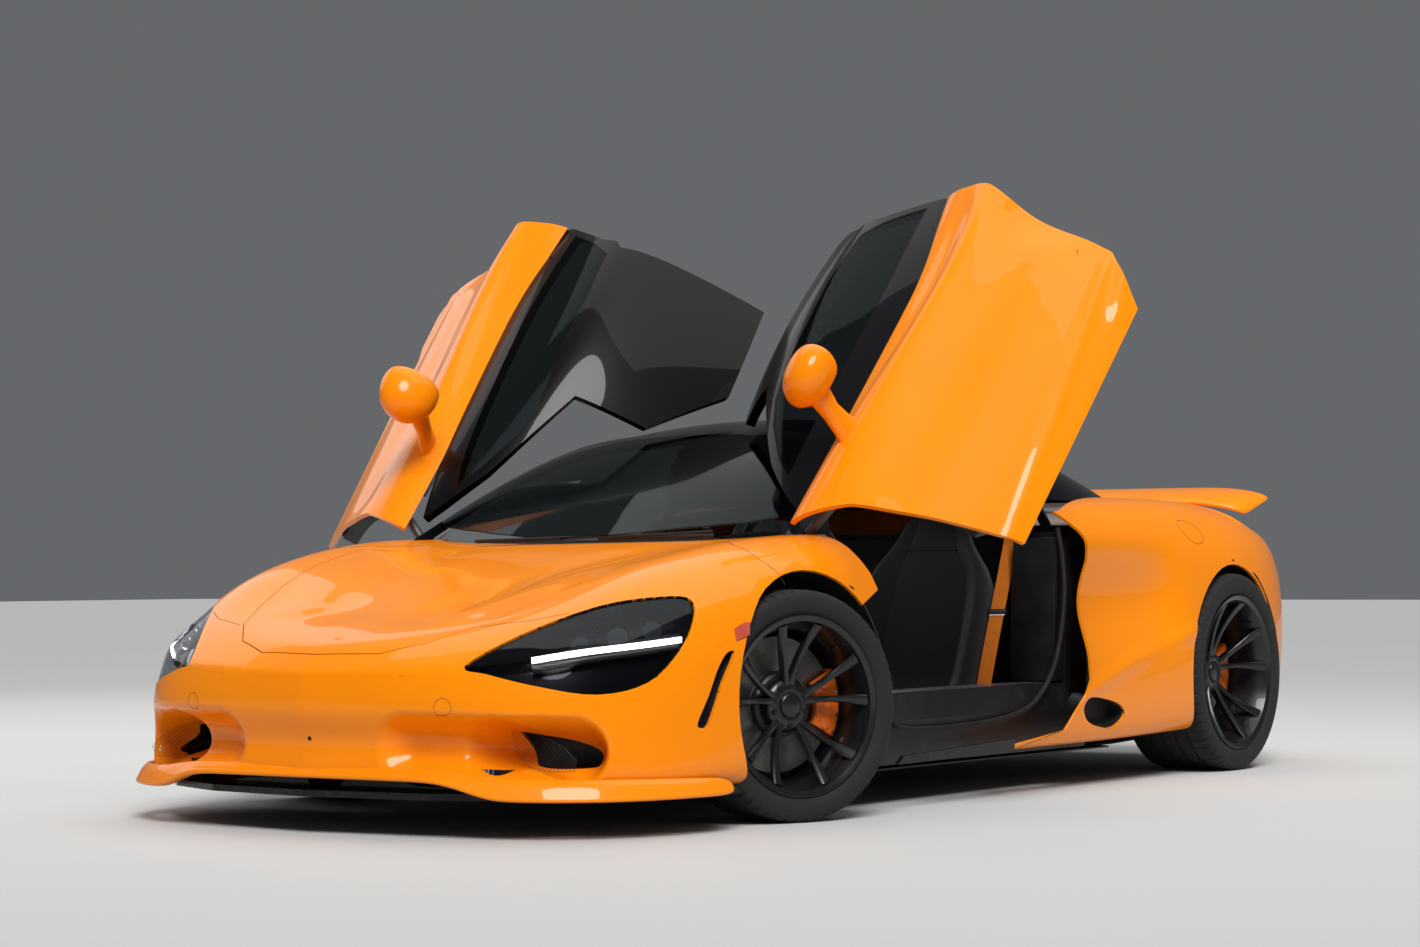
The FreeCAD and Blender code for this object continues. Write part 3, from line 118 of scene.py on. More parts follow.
@dataclass(frozen=True)
class Outline:
    """A closed line seen along an axis, in millimetres, and how far it reaches along the two others."""

    axis: Axis
    points: tuple[Pair, ...]

    def metres(self) -> list[Vector]:
        """The corners in metres."""
        return [Vector((a * MM, b * MM)) for a, b in self.points]

    def grown(self, distance: float) -> "Outline":
        """The same outline moved outwards.

        Args:
            distance: Millimetres, less than nought to move inwards.

        Returns:
            A new outline.
        """
        area = sum(a[0] * b[1] - b[0] * a[1] for a, b in zip(self.points, self.points[1:] + self.points[:1]))
        turn = 1.0 if area > 0 else -1.0
        moved = []
        count = len(self.points)
        for i, here in enumerate(self.points):
            before, after = self.points[i - 1], self.points[(i + 1) % count]
            run_in = Vector((here[0] - before[0], here[1] - before[1])).normalized()
            run_out = Vector((after[0] - here[0], after[1] - here[1])).normalized()
            normal_in = Vector((run_in.y, -run_in.x)) * turn
            normal_out = Vector((run_out.y, -run_out.x)) * turn
            half = (normal_in + normal_out).normalized()
            reach = distance / max(half.dot(normal_in), 0.35)
            moved.append((here[0] + half.x * reach, here[1] + half.y * reach))
        return Outline(self.axis, tuple(moved))

    def rounded(self, steps: int = 5) -> "Outline":
        """A smooth closed line through the same points.

        Args:
            steps: Short runs between two points.

        Returns:
            A new outline.
        """
        points = [Vector(p) for p in self.points]
        count = len(points)
        line = []
        for i in range(count):
            p0, p1, p2, p3 = points[i - 1], points[i], points[(i + 1) % count], points[(i + 2) % count]
            for k in range(steps):
                t = k / steps
                line.append(tuple(0.5 * (2 * p1 + (p2 - p0) * t + (2 * p0 - 5 * p1 + 4 * p2 - p3) * t * t
                                         + (3 * p1 - p0 - 3 * p2 + p3) * t ** 3)))
        return Outline(self.axis, tuple(line))


def around(count: int) -> list[float]:
    """The angles of a whole turn in equal steps."""
    return [2 * math.pi * k / count for k in range(count)]


def polar(x: float, reach: float, angle: float) -> Vector:
    """A place round the X axis, its angle from up towards the rear."""
    return Vector((x, reach * math.sin(angle), reach * math.cos(angle)))


def arch(y: float, z: float, radius: float) -> Outline:
    """A round outline seen from the side, in millimetres."""
    return Outline(Axis.X, tuple((y + radius * math.cos(a), z + radius * math.sin(a)) for a in around(48)))


def stretch(start: float, stop: float) -> Outline:
    """Everything between two places along the car, in millimetres."""
    return Outline(Axis.X, ((start, 0), (stop, 0), (stop, 1300), (start, 1300)))


# Shader maths

class Sock:
    """A shader socket with Python's operators, each of which adds a Math node."""

    def __init__(self, graph: "Graph", socket: bpy.types.NodeSocket) -> None:
        """Keeps the socket and the graph that it belongs to."""
        self.graph = graph
        self.socket = socket

    def math(self, operation: str, *others: object, flip: bool = False) -> "Sock":
        """The result of one Math node.

        Args:
            operation: The node's operation.
            others: Further values, sockets or numbers.
            flip: Puts this socket second.

        Returns:
            The node's value.
        """
        values = [self, *others]
        if flip:
            values = values[::-1]
        node = self.graph.add("ShaderNodeMath", {"operation": operation}, dict(enumerate(values)))
        return Sock(self.graph, node.outputs[0])

    def __add__(self, other: object) -> "Sock":
        """Sum."""
        return self.math("ADD", other)

    __radd__ = __add__

    def __rsub__(self, other: object) -> "Sock":
        """Difference from a number."""
        return self.math("SUBTRACT", other, flip=True)

    def __mul__(self, other: object) -> "Sock":
        """Product."""
        return self.math("MULTIPLY", other)

    def between(self, low: float, high: float) -> "Sock":
        """Smoothly from 0 at low to 1 at high."""
        node = self.graph.add("ShaderNodeMapRange", {"interpolation_type": "SMOOTHSTEP"},
                              {"Value": self, "From Min": low, "From Max": high})
        return Sock(self.graph, node.outputs[0])


class Graph:
    """The nodes of one material."""

    def __init__(self, name: str) -> None:
        """Makes an empty material.

        Args:
            name: The finish's name.
        """
        self.material = bpy.data.materials.new(name)
        self.material.use_nodes = True
        self.tree = self.material.node_tree
        self.tree.nodes.clear()
        self.place = self.add("ShaderNodeTexCoord").outputs["Object"]

    def add(self, kind: str, settings: dict | None = None, inputs: dict | None = None) -> bpy.types.Node:
        """One node.

        Args:
            kind: The node's type.
            settings: Its properties, which are set first.
            inputs: Values or links by the name or number of its sockets.

        Returns:
            The node.
        """
        node = self.tree.nodes.new(kind)
        for key, value in (settings or {}).items():
            setattr(node, key, value)
        for key, value in (inputs or {}).items():
            socket = node.inputs[key]
            source = value.socket if isinstance(value, Sock) else value
            if isinstance(source, bpy.types.NodeSocket):
                self.tree.links.new(source, socket)
            else:
                socket.default_value = source
        return node

    def noise(self, scale: float, detail: float = 3.0, rough: float = 0.5) -> Sock:
        """Soft noise from 0 to 1, with its size in repeats a metre."""
        node = self.add("ShaderNodeTexNoise", None, {"Vector": self.place, "Scale": scale, "Detail": detail,
                                                     "Roughness": rough})
        return Sock(self, node.outputs["Fac"])

    def cells(self, scale: float) -> Sock:
        """Distance in a pattern of cells, with its size in repeats a metre."""
        node = self.add("ShaderNodeTexVoronoi", None, {"Vector": self.place, "Scale": scale})
        return Sock(self, node.outputs["Distance"])

    def height(self) -> Sock:
        """How high a place is, in metres."""
        return Sock(self, self.add("ShaderNodeSeparateXYZ", None, {0: self.place}).outputs[2])

    def blend(self, factor: Sock, first: tuple, second: tuple) -> bpy.types.NodeSocket:
        """A colour between two."""
        node = self.add("ShaderNodeMix", {"data_type": "RGBA"}, {"Factor": factor})
        for socket, value in ((node.inputs[6], first), (node.inputs[7], second)):
            if isinstance(value, bpy.types.NodeSocket):
                self.tree.links.new(value, socket)
            else:
                socket.default_value = (*value, 1.0)
        return node.outputs[2]

    def bump(self, height: Sock, distance: float) -> bpy.types.NodeSocket:
        """A normal pushed about by a height."""
        return self.add("ShaderNodeBump", None, {"Height": height, "Distance": distance, "Strength": 1.0}).outputs[0]

    def surface(self, **values: object) -> bpy.types.Node:
        """The main shader, with sockets named by words joined by a line below."""
        named = {}
        for key, value in values.items():
            name = key.replace("_", " ").title().replace("Ior", "IOR")
            if isinstance(value, tuple) and len(value) == 3:
                value = (*value, 1.0)
            named[name] = value
        return self.add("ShaderNodeBsdfPrincipled", None, named)

    def done(self, shader: bpy.types.NodeSocket) -> bpy.types.Material:
        """Joins the shader to the output."""
        self.add("ShaderNodeOutputMaterial", None, {"Surface": shader})
        return self.material


@dataclass(frozen=True)
class Paint:
    """Clear-coated paint, with fine flakes and a trace of road dust low down."""

    name: str
    slot: str
    colour: Triple
    shade: Triple
    rough: float = 0.32
    metal: float = 0.0
    coat: float = 1.0
    dust: float = 0.25

    def make(self) -> bpy.types.Material:
        """The finish as a material."""
        g = Graph(self.name)
        flake = g.cells(2600.0)
        cloud = g.noise(3.0, 2.0)
        low = (0.42 - g.height()) * 2.4
        dusty = low.between(0.0, 1.0) * g.noise(60.0, 6.0, 0.7).between(0.35, 0.75) * self.dust
        # Noise patches mix the second colour into the first. For the orange body paint the second colour is the paint
        # in shade, so these patches are painted shade as well as random tone.
        base = g.blend(cloud * 0.5 + flake * 0.3, self.colour, self.shade)
        base = g.blend(dusty, base, (0.24, 0.2, 0.16))
        peel = g.noise(420.0, 1.0)
        shader = g.surface(base_color=base, roughness=self.rough + dusty * 0.3 + flake * 0.06, metallic=self.metal,
                           coat_weight=self.coat, coat_roughness=0.02, specular_ior_level=0.08,
                           normal=g.bump(peel + flake * 0.3, 0.00002))
        return g.done(shader.outputs[0])


@dataclass(frozen=True)
class Moulded:
    """Plastic, rubber or cast metal, with a fine grain and worn patches."""

    name: str
    slot: str
    colour: Triple
    worn: Triple
    rough: float = 0.5
    metal: float = 0.0
    coat: float = 0.0
    grain: float = 900.0
    depth: float = 0.00008
    sheen: float = 0.0

    def make(self) -> bpy.types.Material:
        """The finish as a material."""
        g = Graph(self.name)
        patch = g.noise(14.0, 5.0, 0.6).between(0.35, 0.8)
        fine = g.noise(self.grain, 3.0, 0.6)
        base = g.blend(patch * 0.55 + fine * 0.3, self.colour, self.worn)
        shader = g.surface(base_color=base, roughness=(patch * 0.16 + fine * 0.08 + (self.rough - 0.1)),
                           metallic=self.metal, coat_weight=self.coat, coat_roughness=0.05,
                           sheen_weight=self.sheen, normal=g.bump(fine, self.depth))
        return g.done(shader.outputs[0])


@dataclass(frozen=True)
class Pane:
    """Tinted glass that shows what is behind it and mirrors more at a slant."""

    name: str
    slot: str
    tint: Triple
    shine: float = 1.0

    def make(self) -> bpy.types.Material:
        """The finish as a material."""
        g = Graph(self.name)
        clear = g.add("ShaderNodeBsdfTransparent", None, {"Color": (*self.tint, 1.0)})
        smear = g.noise(7.0, 4.0, 0.6).between(0.4, 0.8)
        gloss = g.surface(base_color=(0.004, 0.005, 0.006), roughness=smear * 0.03 + 0.01, coat_weight=1.0,
                          coat_roughness=0.01, specular_ior_level=0.8)
        facing = Sock(g, g.add("ShaderNodeFresnel", None, {"IOR": 1.52}).outputs[0])
        mix = g.add("ShaderNodeMixShader", None, {0: facing * self.shine, 1: clear.outputs[0],
                                                  2: gloss.outputs[0]})
        return g.done(mix.outputs[0])


@dataclass(frozen=True)
class Glow:
    """A lit lamp."""

    name: str
    slot: str
    colour: Triple
    power: float

    def make(self) -> bpy.types.Material:
        """The finish as a material."""
        g = Graph(self.name)
        band = g.noise(30.0, 1.0) * 0.15 + 0.85
        shade = g.blend(band, (0.5, 0.5, 0.5), self.colour)
        shader = g.surface(base_color=shade, roughness=0.25, emission_color=shade, emission_strength=self.power)
        return g.done(shader.outputs[0])


Finish = Paint | Moulded | Pane | Glow


class Finishes:
    """Every finish of the car, made once and found by name."""

    # The second orange is the paint as it looks in shade, mixed in by noise as painted shade.
    ORANGE = Paint("orange_paint", "orange_paint", (1.0, 0.29, 0.0), (0.96, 0.235, 0.0), coat=0.45, dust=0.1)
    ORANGE_DARK = Paint("caliper_paint", "caliper", (0.80, 0.15, 0.005), (0.6, 0.10, 0.004), rough=0.4, coat=0.6,
                        dust=0.4)
    BLACK = Paint("gloss_black", "gloss_black", (0.002, 0.002, 0.003), (0.004, 0.004, 0.005), rough=0.3, coat=0.3,
                  dust=0.1)
    RIM = Moulded("satin_black_alloy", "rim", (0.007, 0.007, 0.008), (0.012, 0.012, 0.014), rough=0.34, metal=0.3,
                  coat=0.3)
    TYRE = Moulded("tyre_rubber", "tyre", (0.007, 0.007, 0.007), (0.016, 0.016, 0.015), rough=0.85, grain=500.0,
                   depth=0.0002)
    # The disc steel and its worn tone are darkened far below bright steel to stand in for the shade behind the spokes:
    # painted shade.
    SHADED_STEEL = Moulded("disc_steel_painted_shade", "disc", (0.16, 0.155, 0.15), (0.1, 0.095, 0.09), rough=0.4, metal=1.0, grain=700.0)
    CAST = Moulded("cast_alloy", "alloy", (0.13, 0.13, 0.135), (0.08, 0.08, 0.08), rough=0.5, metal=0.9)
    TRIM = Moulded("black_trim", "satin_black", (0.008, 0.008, 0.009), (0.016, 0.016, 0.016), rough=0.55)
    SEAL = Moulded("rubber_seal", "satin_black", (0.005, 0.005, 0.005), (0.011, 0.011, 0.011), rough=0.7)
    SUEDE = Moulded("black_suede", "suede", (0.010, 0.010, 0.011), (0.024, 0.024, 0.026), rough=0.95, grain=1600.0,
                    depth=0.00025, sheen=0.35)
    LEATHER = Moulded("black_leather", "leather", (0.010, 0.010, 0.010), (0.02, 0.02, 0.02), rough=0.48, grain=700.0,
                      depth=0.0002)
    WEB = Moulded("orange_webbing", "belt", (0.95, 0.24, 0.002), (0.8, 0.17, 0.001), rough=0.8, grain=1500.0,
                  depth=0.0003)
    CHROME = Moulded("bright_metal", "steel", (0.75, 0.75, 0.76), (0.6, 0.6, 0.62), rough=0.18, metal=1.0)
    GLASS = Pane("window_glass", "glass", (0.40, 0.45, 0.45), shine=0.7)
    LAMP_GLASS = Pane("lamp_glass", "lamp", (0.88, 0.90, 0.92), shine=0.4)
    DARK_GLASS = Pane("roof_glass", "glass", (0.05, 0.055, 0.06), shine=0.7)
    ALLOY = Moulded("brushed_alloy", "alloy", (0.42, 0.42, 0.43), (0.3, 0.3, 0.31), rough=0.36, metal=1.0, grain=300.0)
    WHITE_LIGHT = Glow("white_lamp", "lamp", (1.0, 0.98, 0.94), 5.0)
    RED_LIGHT = Glow("red_lamp", "red_lamp", (0.8, 0.02, 0.01), 0.7)
    AMBER = Glow("amber_lamp", "red_lamp", (0.5, 0.04, 0.002), 0.1)
    _made: dict[str, bpy.types.Material] = {}

    @classmethod
    def get(cls, finish: Finish) -> bpy.types.Material:
        """The material of a finish, made the first time."""
        if finish.name not in cls._made:
            cls._made[finish.name] = finish.make()
        return cls._made[finish.name]


# Meshes

NET_LEVELS = 4
NOSE_CREASE = {(4, 0, 4): 0.45}


def placed(name: str, data: bpy.types.ID) -> bpy.types.Object:
    """An object in the scene that holds a mesh, curve, light or camera."""
    obj = bpy.data.objects.new(name, data)
    bpy.context.scene.collection.objects.link(obj)
    return obj


def applied(obj: bpy.types.Object) -> bpy.types.Mesh:
    """The mesh of an object with its modifiers done; the object goes.

    Args:
        obj: A mesh or curve object.

    Returns:
        A new mesh.
    """
    bpy.context.view_layer.update()
    mesh = bpy.data.meshes.new_from_object(obj.evaluated_get(bpy.context.evaluated_depsgraph_get()))
    bpy.data.objects.remove(obj)
    return mesh


class Body(str, Enum):
    """The bodies that pieces ride on."""

    CAR = "body"
    BONNET = "bonnet"
    WING = "rear_wing"
    STEERING = "steering_wheel"


@dataclass
class Piece:
    """What one finished piece of the scene is."""

    name: str
    finish: Finish
    replaces: tuple[str, ...] = ()
    body: str = Body.CAR.value
    slot: str = ""
    wall: float = 0.0
    bevel: float = 0.0
    levels: int = 0
    sharp: float = 38.0

    def make(self, bm: BMesh, turn: Matrix | None = None) -> bpy.types.Object:
        """Makes the object of this piece.

        Args:
            bm: Its shape, which is used up.
            turn: A move put into the mesh.

        Returns:
            The object, riding on its body.
        """
        mesh = bpy.data.meshes.new(self.name)
        bm.to_mesh(mesh)
        bm.free()
        obj = placed(self.name, mesh)
        if self.levels:
            sub = obj.modifiers.new("smooth", "SUBSURF")
            sub.levels = sub.render_levels = self.levels
        if self.wall:
            wall = obj.modifiers.new("wall", "SOLIDIFY")
            wall.thickness = self.wall
            wall.offset = -1.0
            wall.use_even_offset = False
        if self.bevel:
            soft = obj.modifiers.new("soft", "BEVEL")
            soft.width = self.bevel
            soft.segments = 2
            soft.limit_method = "ANGLE"
            soft.angle_limit = math.radians(40.0)
        mesh = applied(obj)
        mesh.name = self.name
        if turn is not None:
            mesh.transform(turn)
            if turn.determinant() < 0:
                mesh.flip_normals()
        mesh.shade_smooth()
        mesh.set_sharp_from_angle(angle=math.radians(self.sharp))
        mesh.materials.clear()
        mesh.materials.append(Finishes.get(self.finish))
        obj = placed(self.name, mesh)
        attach(obj, self.body)
        if self.replaces:
            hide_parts(*self.replaces)
        LOG.info("%s: %d faces on %s", self.name, len(mesh.polygons), self.body)
        return obj


def net_mesh(ribs: list[list[Triple]], creases: dict[tuple[int, int, int], float]) -> BMesh:
    """A smooth skin over a net of points that ends on the middle of the car.

    Args:
        ribs: Rows of points in millimetres, each from its low edge to x = 0.
        creases: Sharpness of lines along the car, by column, first row and last row of the net.

    Returns:
        The left half of the skin.
    """
    rows = [[Vector(p) * MM for p in line] for line in ribs]
    rows = [line + [Vector((-line[-2].x, line[-2].y, line[-2].z))] for line in rows]
    across, along = len(rows[0]) - 1, len(rows) - 1
    bm = bmesh.new()
    bmesh.ops.create_grid(bm, x_segments=across, y_segments=along, size=1.0)
    for vert in bm.verts:
        column = round((vert.co.x + 1) / 2 * across)
        row = round((vert.co.y + 1) / 2 * along)
        vert.co = rows[row][column]
        vert.index = row * (across + 1) + column
    layer = bm.edges.layers.float.new("crease_edge")
    for edge in bm.edges:
        ends = sorted(v.index for v in edge.verts)
        if ends[1] - ends[0] == across + 1:
            column, row = ends[0] % (across + 1), ends[0] // (across + 1)
            for (line, start, stop), sharpness in creases.items():
                if line == column and start <= row < stop:
                    edge[layer] = sharpness
    mesh = bpy.data.meshes.new("net")
    bm.to_mesh(mesh)
    bm.free()
    obj = placed("net", mesh)
    sub = obj.modifiers.new("smooth", "SUBSURF")
    sub.levels = sub.render_levels = NET_LEVELS
    sub.boundary_smooth = "PRESERVE_CORNERS"
    bm = bmesh.new()
    bm.from_mesh(applied(obj))
    cut = bm.verts[:] + bm.edges[:] + bm.faces[:]
    bmesh.ops.bisect_plane(bm, geom=cut, dist=1e-6, plane_co=(0, 0, 0), plane_no=(1, 0, 0), clear_inner=True)
    for vert in bm.verts:
        if abs(vert.co.x) < 1e-4:
            vert.co.x = 0.0
    bm.normal_update()
    return bm


def loft(sections: list[list[Vector]], caps: bool = True) -> BMesh:
    """A skin through closed sections that have the same number of points.

    Args:
        sections: Rows of points in metres.
        caps: Shuts both ends.

    Returns:
        The shape, its faces outwards.
    """
    rows = [list(row) + [row[0]] for row in sections]
    across, along = len(rows[0]) - 1, len(rows) - 1
    bm = bmesh.new()
    bmesh.ops.create_grid(bm, x_segments=across, y_segments=along, size=1.0)
    for vert in bm.verts:
        vert.co = rows[round((vert.co.y + 1) / 2 * along)][round((vert.co.x + 1) / 2 * across)]
    bmesh.ops.remove_doubles(bm, verts=bm.verts, dist=1e-6)
    if caps:
        bmesh.ops.holes_fill(bm, edges=[e for e in bm.edges if e.is_boundary], sides=0)
    bmesh.ops.recalc_face_normals(bm, faces=bm.faces)
    return bm


def spun(profile: list[Pair], steps: int = 96, start: float = 0.0, turn: float = 360.0) -> BMesh:
    """A shape turned about the X axis.

    Args:
        profile: Closed line of pairs of x and radius, in millimetres.
        steps: Faces round a whole turn.
        start: First angle in degrees, from up towards the rear.
        turn: How far it turns, in degrees.

    Returns:
        The shape, its faces outwards.
    """
    bm = bmesh.new()
    first = math.radians(start)
    ring = [bm.verts.new(polar(x, r, first) * MM) for x, r in profile]
    edges = [bm.edges.new((a, b)) for a, b in zip(ring, ring[1:] + ring[:1])]
    whole = turn >= 360.0
    face = [] if whole else [bm.faces.new(ring)]
    bmesh.ops.spin(bm, geom=ring + edges + face, cent=(0, 0, 0), axis=(-1, 0, 0), dvec=(0, 0, 0),
                   angle=math.radians(turn), steps=max(2, round(steps * turn / 360.0)), use_merge=whole,
                   use_normal_flip=False, use_duplicate=False)
    bmesh.ops.remove_doubles(bm, verts=bm.verts, dist=1e-6)
    bmesh.ops.recalc_face_normals(bm, faces=bm.faces)
    return bm


def tube(points: list[Triple | Vector], radius: float, smooth: bool = True, sides: int = 3,
         closed: bool = False) -> BMesh:
    """A round bar along points.

    Args:
        points: Places in millimetres.
        radius: Millimetres.
        smooth: Rounds the corners.
        sides: Fineness of its section.
        closed: Joins its ends.

    Returns:
        The shape.
    """
    curve = bpy.data.curves.new("bar", "CURVE")
    curve.dimensions = "3D"
    curve.bevel_depth = radius * MM
    curve.bevel_resolution = sides
    curve.use_fill_caps = True
    spline = curve.splines.new("NURBS" if smooth else "POLY")
    spline.points.add(len(points) - 1)
    for point, place in zip(spline.points, points):
        point.co = (*(Vector(place) * MM), 1.0)
    spline.use_cyclic_u = closed
    if smooth:
        spline.order_u = 3
        spline.use_endpoint_u = not closed
        spline.resolution_u = 6
    bm = bmesh.new()
    bm.from_mesh(applied(placed("bar", curve)))
    bmesh.ops.remove_doubles(bm, verts=bm.verts, dist=1e-6)
    bmesh.ops.recalc_face_normals(bm, faces=bm.faces)
    return bm


def cone(base: float, tip: float, height: float, sides: int, place: Matrix) -> BMesh:
    """A cone or disc about Z, put in its place.

    Args:
        base: Radius of its low end in millimetres.
        tip: Radius of its high end.
        height: Millimetres.
        sides: Corners of its ends.
        place: A move from the origin, in metres.

    Returns:
        The shape.
    """
    bm = bmesh.new()
    bmesh.ops.create_cone(bm, cap_ends=True, segments=sides, radius1=base * MM, radius2=tip * MM, depth=height * MM)
    return moved(bm, place)


def slab(low: Triple, high: Triple) -> BMesh:
    """A block between two corners in millimetres, to be shaped further."""
    bm = bmesh.new()
    size = Vector(high) - Vector(low)
    middle = (Vector(high) + Vector(low)) / 2
    bmesh.ops.create_cube(bm, size=1.0, matrix=Matrix.Translation(middle * MM) @ Matrix.Diagonal((*(size * MM), 1.0)))
    return bm


def plate(outline: Outline, near: float, far: float) -> BMesh:
    """A flat plate with an outline.

    Args:
        outline: Its edge.
        near: First depth along the outline's axis, in millimetres.
        far: Second depth.

    Returns:
        The shape, its faces outwards.
    """
    i, j = outline.axis.value
    k = 3 - i - j
    bm = bmesh.new()
    ring = []
    for a, b in outline.points:
        place = [0.0, 0.0, 0.0]
        place[i], place[j], place[k] = a * MM, b * MM, near * MM
        ring.append(bm.verts.new(place))
    face = bm.faces.new(ring)
    grown = bmesh.ops.extrude_face_region(bm, geom=[face], use_keep_orig=True)["geom"]
    run = [0.0, 0.0, 0.0]
    run[k] = (far - near) * MM
    bmesh.ops.translate(bm, vec=run, verts=[g for g in grown if isinstance(g, bmesh.types.BMVert)])
    bmesh.ops.recalc_face_normals(bm, faces=bm.faces)
    return bm


def joined(shapes: list[BMesh]) -> BMesh:
    """Several shapes in one; they are used up."""
    whole = bmesh.new()
    for shape in shapes:
        mesh = bpy.data.meshes.new("one")
        shape.to_mesh(mesh)
        shape.free()
        whole.from_mesh(mesh)
        bpy.data.meshes.remove(mesh)
    return whole


def moved(bm: BMesh, matrix: Matrix) -> BMesh:
    """The shape after a move, still facing outwards."""
    bm.transform(matrix)
    if matrix.determinant() < 0:
        bmesh.ops.reverse_faces(bm, faces=bm.faces)
    return bm


def mirror_pair(bm: BMesh) -> BMesh:
    """A shape and its mirror image on the right."""
    return joined([bm.copy(), moved(bm, MIRROR)])


def bowl(bm: BMesh, depth: float) -> BMesh:
    """Sinks a piece of skin and walls it in, as a recess that opens outwards.

    Args:
        bm: A piece of skin.
        depth: Millimetres.

    Returns:
        The recess.
    """
    bm.normal_update()
    old = {v: v.normal.copy() for v in bm.verts}
    place = {v.co.copy().freeze(): n for v, n in old.items()}
    lids = bm.faces[:]
    grown = bmesh.ops.extrude_face_region(bm, geom=lids, use_keep_orig=True)["geom"]
    for vert in (g for g in grown if isinstance(g, bmesh.types.BMVert)):
        normal = place.get(vert.co.copy().freeze())
        if normal is not None:
            vert.co -= normal * depth * MM
    bmesh.ops.delete(bm, geom=[f for f in lids if f.is_valid], context="FACES_ONLY")
    return bm


@dataclass(frozen=True)
class Press:
    """A hollow or ridge pressed into the skin along a line."""

    line: tuple[Triple, ...]
    reach: float
    depth: float
    power: float = 1.0
    way: Triple | None = None

    def shape(self, bm: BMesh) -> None:
        """Moves the points of a skin.

        Args:
            bm: The skin, in metres.
        """
        bm.normal_update()
        here = np.array([v.co for v in bm.verts])
        best = np.full(len(here), 1e9)
        line = np.array(self.line) * MM
        for a, b in zip(line, line[1:]):
            run = b - a
            t = np.clip(((here - a) @ run) / (run @ run), 0.0, 1.0)
            best = np.minimum(best, np.linalg.norm(here - a - t[:, None] * run, axis=1))
        share = np.clip(1.0 - best / (self.reach * MM), 0.0, 1.0) ** self.power
        push = share * share * (3.0 - 2.0 * share) * self.depth * MM
        for vert, amount in zip(bm.verts, push):
            if amount:
                normal = -Vector(self.way) if self.way else vert.normal.copy()
                if vert.co.x < 1e-5:
                    normal.x = 0.0
                    normal.normalize()
                vert.co -= normal * float(amount)


def inside(point: Vector, corners: list[Vector]) -> bool:
    """Whether a point is inside a closed line."""
    found = False
    for a, b in zip(corners, corners[1:] + corners[:1]):
        if (a.y > point.y) != (b.y > point.y):
            if point.x < (b.x - a.x) * (point.y - a.y) / (b.y - a.y) + a.x:
                found = not found
    return found


def trim(bm: BMesh, zone: list[Outline], keep: bool = False, within: Pair = (-9000.0, 9000.0)) -> BMesh:
    """Cuts a skin along outlines, and deletes what is inside all of them, or the rest.

    Args:
        bm: The skin.
        zone: Outlines whose common inside is meant.
        keep: Keeps the inside and deletes the rest.
        within: Lowest and highest y in millimetres of what is looked at.

    Returns:
        The skin.
    """
    low, high = within[0] * MM, within[1] * MM
    for outline in zone:
        i, j = outline.axis.value
        corners = outline.metres()
        span = [min(c[0] for c in corners), max(c[0] for c in corners), min(c[1] for c in corners),
                max(c[1] for c in corners)]
        near = []

        def look(faces: list) -> None:
            """Adds the faces that may meet the outline."""
            for face in faces:
                middle = face.calc_center_median()
                if low <= middle.y <= high:
                    size = max((v.co - middle).length for v in face.verts)
                    flat = Vector((middle[i], middle[j]))
                    if (span[0] - size < flat.x < span[1] + size) and (span[2] - size < flat.y < span[3] + size):
                        near.append((face, flat, size))

        look(bm.faces)
        for a, b in zip(corners, corners[1:] + corners[:1]):
            run = b - a
            if run.length < 1e-7:
                continue
            met = []
            for face, flat, size in near:
                if face.is_valid:
                    t = min(max((flat - a).dot(run) / run.length_squared, 0.0), 1.0)
                    if (a + run * t - flat).length < size:
                        met.append(face)
            if not met:
                continue
            chosen = set(met)
            near = [row for row in near if row[0].is_valid and row[0] not in chosen]
            geom = met + list({e for f in met for e in f.edges}) + list({v for f in met for v in f.verts})
            normal = [0.0, 0.0, 0.0]
            normal[i], normal[j] = -run.y, run.x
            where = [0.0, 0.0, 0.0]
            where[i], where[j] = a.x, a.y
            cut = bmesh.ops.bisect_plane(bm, geom=geom, dist=1e-6, plane_co=where, plane_no=normal)["geom"]
            look([g for g in cut if isinstance(g, bmesh.types.BMFace)])
    sides = [(outline.axis.value, outline.metres()) for outline in zone]
    doomed = []
    for face in bm.faces:
        middle = face.calc_center_median()
        within_all = low <= middle.y <= high and all(
            inside(Vector((middle[i], middle[j])), corners) for (i, j), corners in sides)
        if within_all != keep:
            doomed.append(face)
    bmesh.ops.delete(bm, geom=doomed, context="FACES")
    return bm


def both(bm: BMesh) -> BMesh:
    """Adds the mirror image of a left half."""
    half = bm.verts[:] + bm.edges[:] + bm.faces[:]
    bmesh.ops.mirror(bm, geom=half, matrix=Matrix.Identity(4), merge_dist=1e-5, axis="X")
    bmesh.ops.remove_doubles(bm, verts=bm.verts, dist=1e-5)
    bm.normal_update()
    left = [f for f in bm.faces if f.calc_center_median().x > 1e-6]
    right = [f for f in bm.faces if f.calc_center_median().x < -1e-6]
    up = sum(f.normal.z for f in left) * sum(f.normal.z for f in right)
    out = sum(f.normal.x for f in left) * sum(f.normal.x for f in right)
    if up - out < 0:
        bmesh.ops.reverse_faces(bm, faces=right)
    return bm


def lifted(bm: BMesh, distance: float) -> BMesh:
    """The skin moved out along its normals by a distance in metres."""
    bm.normal_update()
    for vert in bm.verts:
        vert.co += vert.normal * distance
    return bm


# The left door's hinge and what it turns from shut to open
HINGE_POINT = Vector((679.7, -900.0, 754.9))
HINGE_AXIS = Vector((-0.6144, 0.6887, 0.3849)).normalized()
OPEN_ANGLE = math.radians(68.6)


def door_turn(side: int) -> Matrix:
    """The move of a shut left door to its open place.

    Args:
        side: 1 for the left door, -1 for its mirror image on the right.

    Returns:
        A matrix.
    """
    about = Matrix.Translation(HINGE_POINT * MM)
    turn = about @ Matrix.Rotation(-OPEN_ANGLE, 4, HINGE_AXIS) @ about.inverted()
    return turn if side > 0 else MIRROR @ turn


